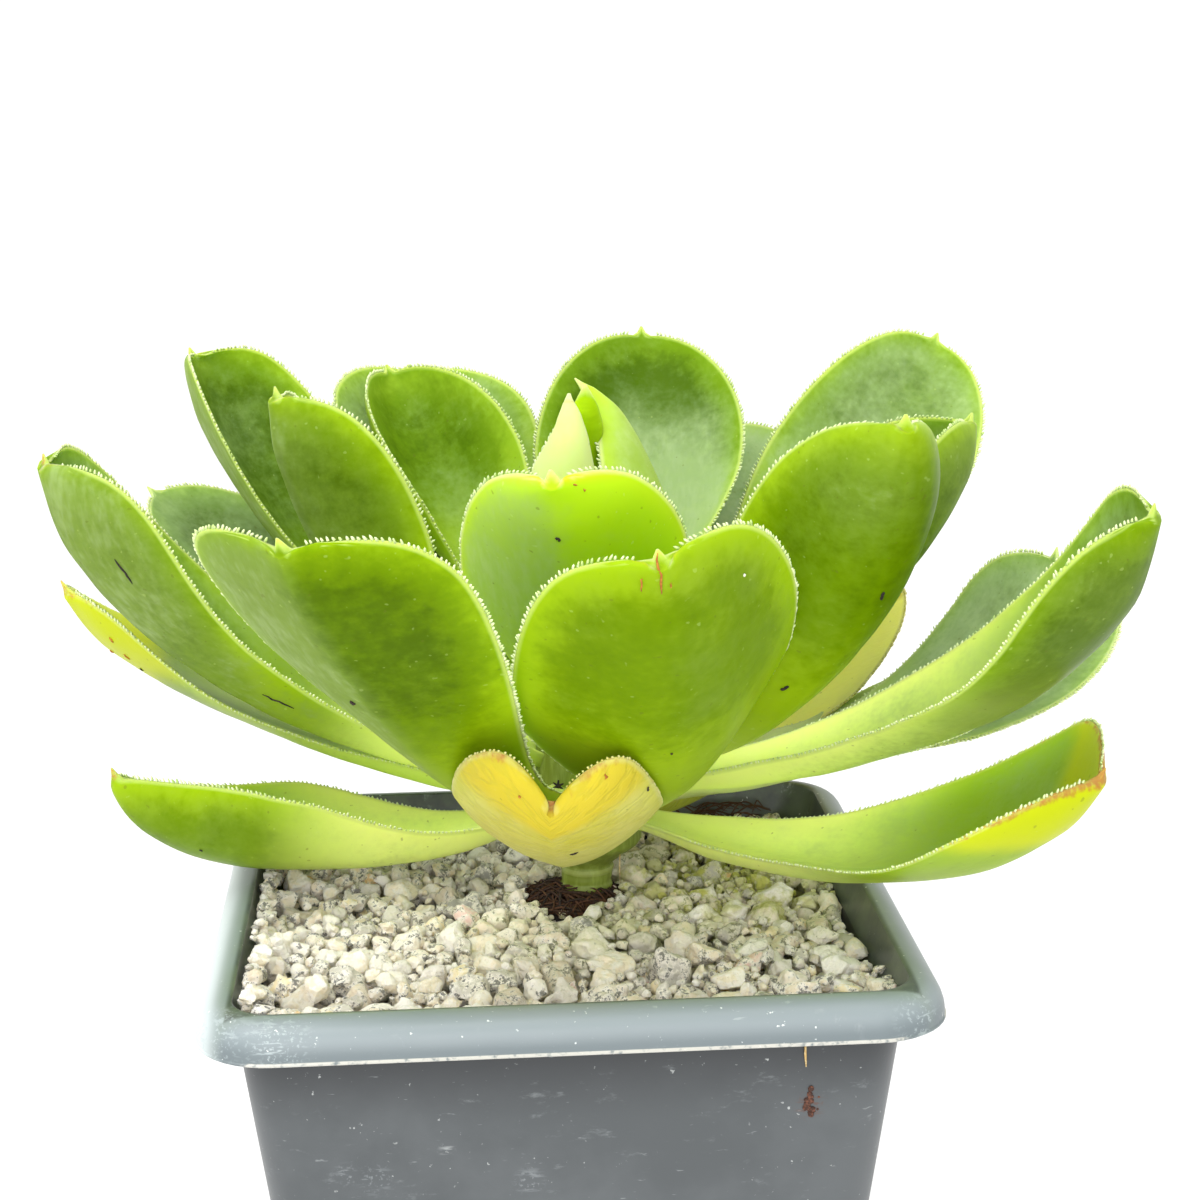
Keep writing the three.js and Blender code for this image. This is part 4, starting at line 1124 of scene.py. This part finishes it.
def stone_shape(directions, random):
    """A broken, weathered stone: a ball cut by planes, with knobs and pits, coarse and then fine."""
    cuts = int(random.integers(8, 15))
    index = np.arange(cuts) + 0.5
    polar = np.arccos(1 - 2 * index / cuts)
    turn = GOLDEN_TURN * index + random.uniform(0, 6.3)
    normals = np.stack([np.cos(turn) * np.sin(polar), np.sin(turn) * np.sin(polar), np.cos(polar)], -1)
    normals = unit(normals + random.normal(0, 0.3, normals.shape))
    depth = random.uniform(0.68, 1.0, cuts)
    facing = np.maximum(directions @ normals.T / depth, 0)
    radius = np.minimum((facing ** STONE_WEAR).sum(-1) ** (-1 / STONE_WEAR), 1.15)
    rough = random.uniform(0.7, 1.9)
    for count, sharpness, rise in STONE_KNOBS:
        if count > 100 and len(directions) < 1000:
            continue  # the finest ones would be lost between so few points
        knobs = unit(random.normal(size=(count, 3)))
        heights = random.normal(0, rise * rough, count)
        radius = radius * (1 + (np.exp(sharpness * (directions @ knobs.T - 1)) * heights).sum(-1))
    return directions * radius[:, None]


def inside_pot(x, y, z, radius):
    """Whether a stone stays inside the pot's wall."""
    half, corner = inside_half(z), wall_corner(z) - POT["wall"]
    over = math.hypot(max(abs(x) - half + corner, 0), max(abs(y) - half + corner, 0))
    return over + 1.05 * radius < corner + 0.3


def lowest_place(random, bed, radius, squash, lining):
    """Where a stone comes to rest lowest, of a few places in the pot. Gives its centre, the part of
    the bed under it, the height of its upper face over that part, and the bed's cell at its middle."""
    reach, gx, gy, ground = bed
    best = None
    for _ in range(PLACES_TRIED):
        x, y = random.uniform(-reach + radius, reach - radius, 2)
        if lining:
            x = math.copysign(reach - radius * random.uniform(0.9, 1.2), x)
            x, y = (x, y) if random.uniform() < 0.5 else (y, x)
        i, j = (int(round((value + reach) / FIELD_STEP)) for value in (x, y))
        span = int(radius / FIELD_STEP) + 1
        part = (slice(max(0, i - span), i + span + 1), slice(max(0, j - span), j + span + 1))
        under = radius ** 2 - (gx[part] - x) ** 2 - (gy[part] - y) ** 2
        dome = np.where(under > 0, squash * np.sqrt(np.maximum(under, 0)), -np.inf)
        rest = (ground[part] + dome).max() - STONE_SINK * radius
        if inside_pot(x, y, rest, radius) and (best is None or rest < best[0][2]):
            cell = (min(i, len(ground) - 1), min(j, len(ground) - 1))
            best = ((x, y, rest), part, dome, cell)
    return best


def lay_stones(random):
    """Drops stones one at a time into the lowest of a few places, so that they bed on each other."""
    reach = inside_half(GRIT_TOP + 1.2)
    cells = int(2 * reach / FIELD_STEP) + 1
    axis = np.linspace(-reach, reach, cells)
    gx, gy = np.meshgrid(axis, axis, indexing="ij")
    ground = np.full((cells, cells), SOIL_TOP + 0.4)
    # Over the plug the ground is raised past the bed, so that no stone comes to lie there.
    ground[np.hypot(gx - PLUG["x"], gy - PLUG["y"]) < PLUG["radius"] - 1.2] = PLUG["top"] + 2.5
    limit = GRIT_TOP + grit_level(gx, gy)
    laid = []
    for smallest, largest, tries, lining, over in STONE_SIZES:
        for _ in range(tries):
            radius = random.uniform(smallest, largest)
            squash = random.uniform(0.68, 0.95)
            best = lowest_place(random, (reach, gx, gy, ground), radius, squash, lining)
            if best is None:
                continue
            (x, y, rest), part, dome, cell = best
            top = limit[cell] + over + random.uniform(-0.3, 0.5)
            if rest + squash * radius * 0.8 <= top:
                ground[part] = np.maximum(ground[part], rest + dome)
                laid.append((x, y, rest, radius, squash))
    return laid


def turned(random):
    """A random turn about the upright axis after a slight tilt."""
    a, b = random.uniform(0, 6.3), random.normal(0, 0.35)
    spin = np.array([[math.cos(a), -math.sin(a), 0], [math.sin(a), math.cos(a), 0], [0, 0, 1]])
    tilt = np.array([[1, 0, 0], [0, math.cos(b), -math.sin(b)], [0, math.sin(b), math.cos(b)]])
    return spin @ tilt


def make_grit():
    """The bed of stones, each with its kind and tone by chance and its damp by its place."""
    random = np.random.default_rng(23)
    coarse, middling, fine = stone_directions()
    parts = []
    values = {"kind": [], "tone": [], "damp": []}
    for x, y, z, radius, squash in lay_stones(random):
        directions, faces = fine if radius > LARGE_STONE else middling if radius > MIDDLING_STONE else coarse
        shape = stone_shape(directions, random) * (1, random.uniform(0.72, 1.0), squash) * radius
        parts.append((shape @ turned(random).T + (x, y, z), faces))
        damp = 1.3 * near(x, y, DAMP_AT["right"], 330) + 0.4 * near(x, y, DAMP_AT["front"], 120)
        drawn = random.uniform(0, 1), random.uniform(0, 1), min(1, damp * random.uniform(0.5, 1.3))
        for column, value in zip(values.values(), drawn):
            column.append(np.full(len(directions), value))
    attributes = {key: np.concatenate(column) for key, column in values.items()}
    make_piece(
        "crushed_stone_bed", *merge(parts), [crushed_stone()], "crushed_stone", ["grit"],
        sharp=STONE_CREASE, attributes=attributes,
    )


# ---------------------------------------------------------------- coir plug, stem and scraps

# The pressed core of the plug, from its underside up: radius and height in mm.
PLUG_CORE = [
    (5.3, PLUG["bottom"]), (5.9, PLUG["bottom"] + 0.6), (5.9, 74.0), (5.9, PLUG["top"] - 1.2),
    (5.5, PLUG["top"] - 0.5), (4.8, PLUG["top"] - 0.25), (3.6, PLUG["top"] - 0.1), (2.0, PLUG["top"]),
]
LUMPY_OVER = 70.0  # mm
COIR_FIBRES = 520
FIBRE_POINTS = 11


def coir_strand(random):
    """A loose fibre over the plug's top, or none where too little of it lies there."""
    length, bend = random.uniform(3, 9), random.normal(0, 0.12)
    heading, away = random.uniform(0, 6.3), 5.6 * math.sqrt(random.uniform(0, 1))
    bearing = random.uniform(0, 6.3)
    steps = np.linspace(-0.5, 0.5, FIBRE_POINTS)
    turn = heading + bend * steps * length
    x, y = (
        PLUG[axis] + away * wave(bearing) + np.cumsum(wave(turn)) * length / FIBRE_POINTS
        - length / 2 * wave(heading)
        for axis, wave in (("x", np.cos), ("y", np.sin))
    )
    far = np.hypot(x - PLUG["x"], y - PLUG["y"])
    rise = random.uniform(-0.1, 1.9) * (1 - 0.7 * smooth((far - 3.0) / 3.5))
    z = PLUG["top"] + rise + 0.35 * np.sin(steps * random.uniform(3, 9))
    radius = random.uniform(0.06, 0.17) * (1 - 0.6 * np.abs(steps * 2) ** 3)
    inside = far < PLUG["radius"] + 0.7
    if inside.sum() < 4:
        return None
    shown = slice(int(np.argmax(inside)), int(len(inside) - np.argmax(inside[::-1])))
    return tube(np.stack([x, y, z], -1)[shown], radius[shown])


def make_plug():
    """A pressed plug of coir: a lumpy core with loose fibres lying over its top."""
    random = np.random.default_rng(7)
    sides = 40
    angles = round_angles(sides)
    rings = []
    for radius, z in PLUG_CORE:
        ring = np.stack([radius * np.cos(angles), radius * np.sin(angles), np.full(sides, z)], -1)
        lumps = random.uniform(-0.25, 0.25, (sides, 3)) if z > LUMPY_OVER else 0
        rings.append(ring + lumps + (PLUG["x"], PLUG["y"], 0))
    parts = [(np.concatenate(rings), skin_faces(len(rings), sides))]
    tones = [np.full(len(rings) * sides, 0.1)]
    for _ in range(COIR_FIBRES):
        strand = coir_strand(random)
        if strand:
            parts.append(strand)
            tones.append(np.full(len(strand[0]), random.uniform(0.25, 1.0)))
    tone = {"tone": np.concatenate(tones)}
    make_piece("coir_root_plug", *merge(parts), [coir_fibre()], "coir", ["coir_plug"], attributes=tone)


def make_stem():
    """A fleshy stem with the raised scars that dropped leaves left, and a groove over each."""
    sides = 48
    angles = round_angles(sides)
    heights = np.concatenate([
        [STEM["bottom"]], np.linspace(76, 88, 61), np.linspace(89, STEM["taper"][1], 30),
    ])
    lean = smooth((heights - PLUG["top"]) / (STEM["flare"][1] - PLUG["top"]))
    radius = stem_radius(heights)
    for scar in STEM["scars"]:
        radius = radius + 0.14 * np.exp(-((heights - scar) / 0.25) ** 2)
        radius = radius - 0.12 * np.exp(-((heights - scar - 0.6) / 0.3) ** 2)
    foot, crown = np.array(STEM["foot"]), np.array(STEM["crown"])
    centre = foot + (crown - foot) * lean[:, None]
    rings = np.stack([
        centre[:, :1] + radius[:, None] * np.cos(angles),
        centre[:, 1:] + radius[:, None] * np.sin(angles),
        heights[:, None] + 0 * angles,
    ], -1)
    middle = np.concatenate([centre, heights[:, None]], 1)[:, None]
    rings = rings + unit(rings - middle) * (0.06 * waves(rings, 3, 3.0))[..., None]
    faces = skin_faces(len(heights), sides)
    make_piece("fleshy_stem", rings.reshape(-1, 3), faces, [stem_skin()], "stem_skin", ["stem"])


# ---------------------------------------------------------------- small scraps and marks

# Specks that lie on each leaf: the sort, both ends in mm and the radius.
LEAF_SPECKS = {
    "leaf_outer_left": [
        ("dark", (-48.5, -9.6, 127.9), (-46.8, -9.1, 125.0), 0.14),
        ("dark", (-33.6, -2.5, 110.2), (-30.2, -1.4, 108.1), 0.12),
    ],
    "leaf_front_left": [("dark", (-22.1, -38.8, 119.1), (-21.8, -38.8, 118.7), 0.24)],
    "leaf_front_centre": [
        ("dark", (-0.9, -28.9, 133.2), (-0.6, -29.0, 132.6), 0.17),
        ("rust", (1.0, -30.6, 139.0), (1.1, -30.6, 138.8), 0.12),
        ("rust", (2.0, -30.2, 138.3), (2.1, -30.2, 138.1), 0.1),
    ],
    "leaf_front_right": [
        ("rust", (7.1, -54.9, 136.6), (7.5, -53.5, 132.6), 0.13),
        ("rust", (5.7, -54.1, 134.3), (5.7, -53.4, 132.9), 0.1),
        ("rust", (8.3, -53.6, 133.8), (8.4, -53.4, 133.3), 0.07),
        ("dark", (10.1, -36.7, 112.0), (10.3, -36.6, 111.8), 0.15),
        ("pale", (16.1, -47.9, 133.0), (16.2, -47.8, 132.8), 0.17),
    ],
    "leaf_upper_right": [
        ("dark", (33.4, -28.5, 126.3), (33.1, -28.0, 125.4), 0.2),
        ("dark", (24.3, -22.4, 114.7), (23.5, -21.9, 114.2), 0.2),
    ],
    "leaf_yellow_front": [
        ("rust", (3.2, -39.2, 110.6), (3.4, -39.2, 110.1), 0.13),
        ("rust", (-5.5, -38.3, 108.7), (-5.4, -38.2, 108.4), 0.13),
        ("dark", (8.2, -33.3, 107.2), (8.5, -33.0, 106.5), 0.12),
        ("dark", (0.1, -28.2, 98.4), (0.9, -28.6, 98.7), 0.14),
    ],
    "leaf_heart_bud": [("rust", (4.8, 4.1, 138.9), (4.9, 4.2, 138.2), 0.35)],
    "leaf_low_left": [("dark", (-41.9, -0.6, 90.9), (-41.6, -0.6, 90.8), 0.12)],
    "leaf_yellow_tip_left": [
        ("rust", (-52.7, 11.8, 112.3), (-52.4, 11.7, 111.9), 0.14),
        ("rust", (-51.7, 6.2, 115.4), (-51.3, 6.4, 114.6), 0.15),
        ("rust", (-50.2, 7.4, 113.2), (-49.7, 7.7, 112.4), 0.13),
        ("dark", (-48.9, 8.5, 110.8), (-48.6, 8.6, 110.4), 0.14),
    ],
}
SPECK_SORTS = {
    "dark": ("dark_specks", "dried_bark_crumb", "#17110d", "#3a2c20", "growing_mix"),
    "rust": ("rusty_specks", "dried_leaf_spot", "#a05c18", "#c4802a", "leaf_yellow"),
    "pale": ("pale_specks", "white_grit_dust", "#e6e4cc", "#f6f4e4", "crushed_stone"),
}


def lie_on(surface, start, end, radius, random):
    """A small tapering scrap that follows the surface from one point to another."""
    steps = np.linspace(0, 1, 7)[:, None]
    path = np.array(start) + (np.array(end) - np.array(start)) * steps
    path = path + random.normal(0, 0.07, path.shape)
    laid = []
    for point in path:
        _, place, normal, _ = surface.closest_point_on_mesh(Vector(point) * MM)
        laid.append(np.array(place) / MM + np.array(normal) * radius * 0.25)
    return tube(laid, radius * np.array([0.35, 0.8, 1.0, 0.85, 1.0, 0.75, 0.3]), 6)


BARK_STAR = (0.43, 2.2, 96.4)
WALL_DIRT = {"x": 25.1, "z": 71.6, "crumbs": 22}
LOOSE_ROOTS = {"x": (17, 29), "y": (31, 34.5), "wall": 34.4, "count": 30}
STRAW = {  # each bit's points and its radius at them
    "under_lip": ([(24.3, -36.1, 79.3), (24.35, -35.75, 77.8), (24.5, -35.45, 76.3)], (0.1, 0.14, 0.07)),
    "on_stem": ([(7.9, 4.0, 87.0), (7.95, 5.4, 84.6), (8.1, 6.9, 82.2)], (0.06, 0.09, 0.06)),
}


def bark_star():
    """Three crossed crumbs of bark at the foot of the front leaves."""
    middle = np.array(BARK_STAR)
    parts = []
    for turn in np.radians((20, 85, 145)):
        arm = np.array([math.cos(turn), 0.15, math.sin(turn)])
        parts.append(tube([middle - 0.95 * arm, middle, middle + 0.7 * arm], [0.07, 0.2, 0.08], 6))
    return parts


def lumps_on_wall(random):
    """Crumbs of mix that dried onto the front wall."""
    directions, faces = stone_directions()[0]
    parts = []
    for _ in range(WALL_DIRT["crumbs"]):
        x, z = random.normal(WALL_DIRT["x"], 0.45), random.normal(WALL_DIRT["z"], 1.05)
        radius = random.uniform(0.12, 0.42)
        lump = stone_shape(directions, random) * (radius, 0.6 * radius, radius)
        parts.append((lump + (x, -wall_half(z) - 0.1 * radius, z), faces))
    return merge(parts)


def loose_roots(random):
    """Dry roots that lie on the grit in the far corner."""
    steps = np.linspace(-0.5, 0.5, 9)
    taper = 1 - 0.5 * np.abs(steps * 2)
    parts = []
    for _ in range(LOOSE_ROOTS["count"]):
        length, heading = random.uniform(3, 8), random.normal(0.1, 0.5)
        x = random.uniform(*LOOSE_ROOTS["x"]) + steps * length * math.cos(heading)
        y = random.uniform(*LOOSE_ROOTS["y"]) + steps * length * math.sin(heading)
        y = np.minimum(y, LOOSE_ROOTS["wall"])
        z = GRIT_TOP + grit_level(x, y) + random.uniform(0.2, 1.9) + 0.5 * np.cos(steps * 5)
        parts.append(tube(np.stack([x, y, z], -1), random.uniform(0.07, 0.14) * taper))
    return merge(parts)


def make_scraps(blades):
    """Specks and crumbs on the leaves, dirt on the wall, roots on the grit, and bits of straw."""
    random = np.random.default_rng(61)
    for sort, (name, material, dark, light, slot) in SPECK_SORTS.items():
        parts = [
            lie_on(blades[leaf], start, end, radius, random)
            for leaf, specks in LEAF_SPECKS.items()
            for kind, start, end, radius in specks if kind == sort
        ]
        if sort == "dark":
            parts += bark_star()
        make_piece(name, *merge(parts), [dry_scrap(material, dark, light)], slot)
    dirt = dry_scrap("dried_mix_crumb", "#3d2419", "#7a4c38")
    make_piece("dirt_crumbs", *lumps_on_wall(random), [dirt], "growing_mix")
    roots, root_faces = loose_roots(random)
    tone = {"tone": np.full(len(roots), 0.9)}
    make_piece("loose_roots", roots, root_faces, [coir_fibre()], "coir", attributes=tone)
    bits = [tube(path, radii, 6) for path, radii in STRAW.values()]
    straw = dry_scrap("dry_straw", "#c4a264", "#ecdcae")
    make_piece("straw_scraps", *merge(bits), [straw], "coir")


make_camera()
make_studio()
blades = make_leaves()
make_pot()
make_grit()
make_plug()
make_stem()
make_scraps(blades)
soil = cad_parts["soil"]
soil.data.materials.clear()
soil.data.materials.append(loam())
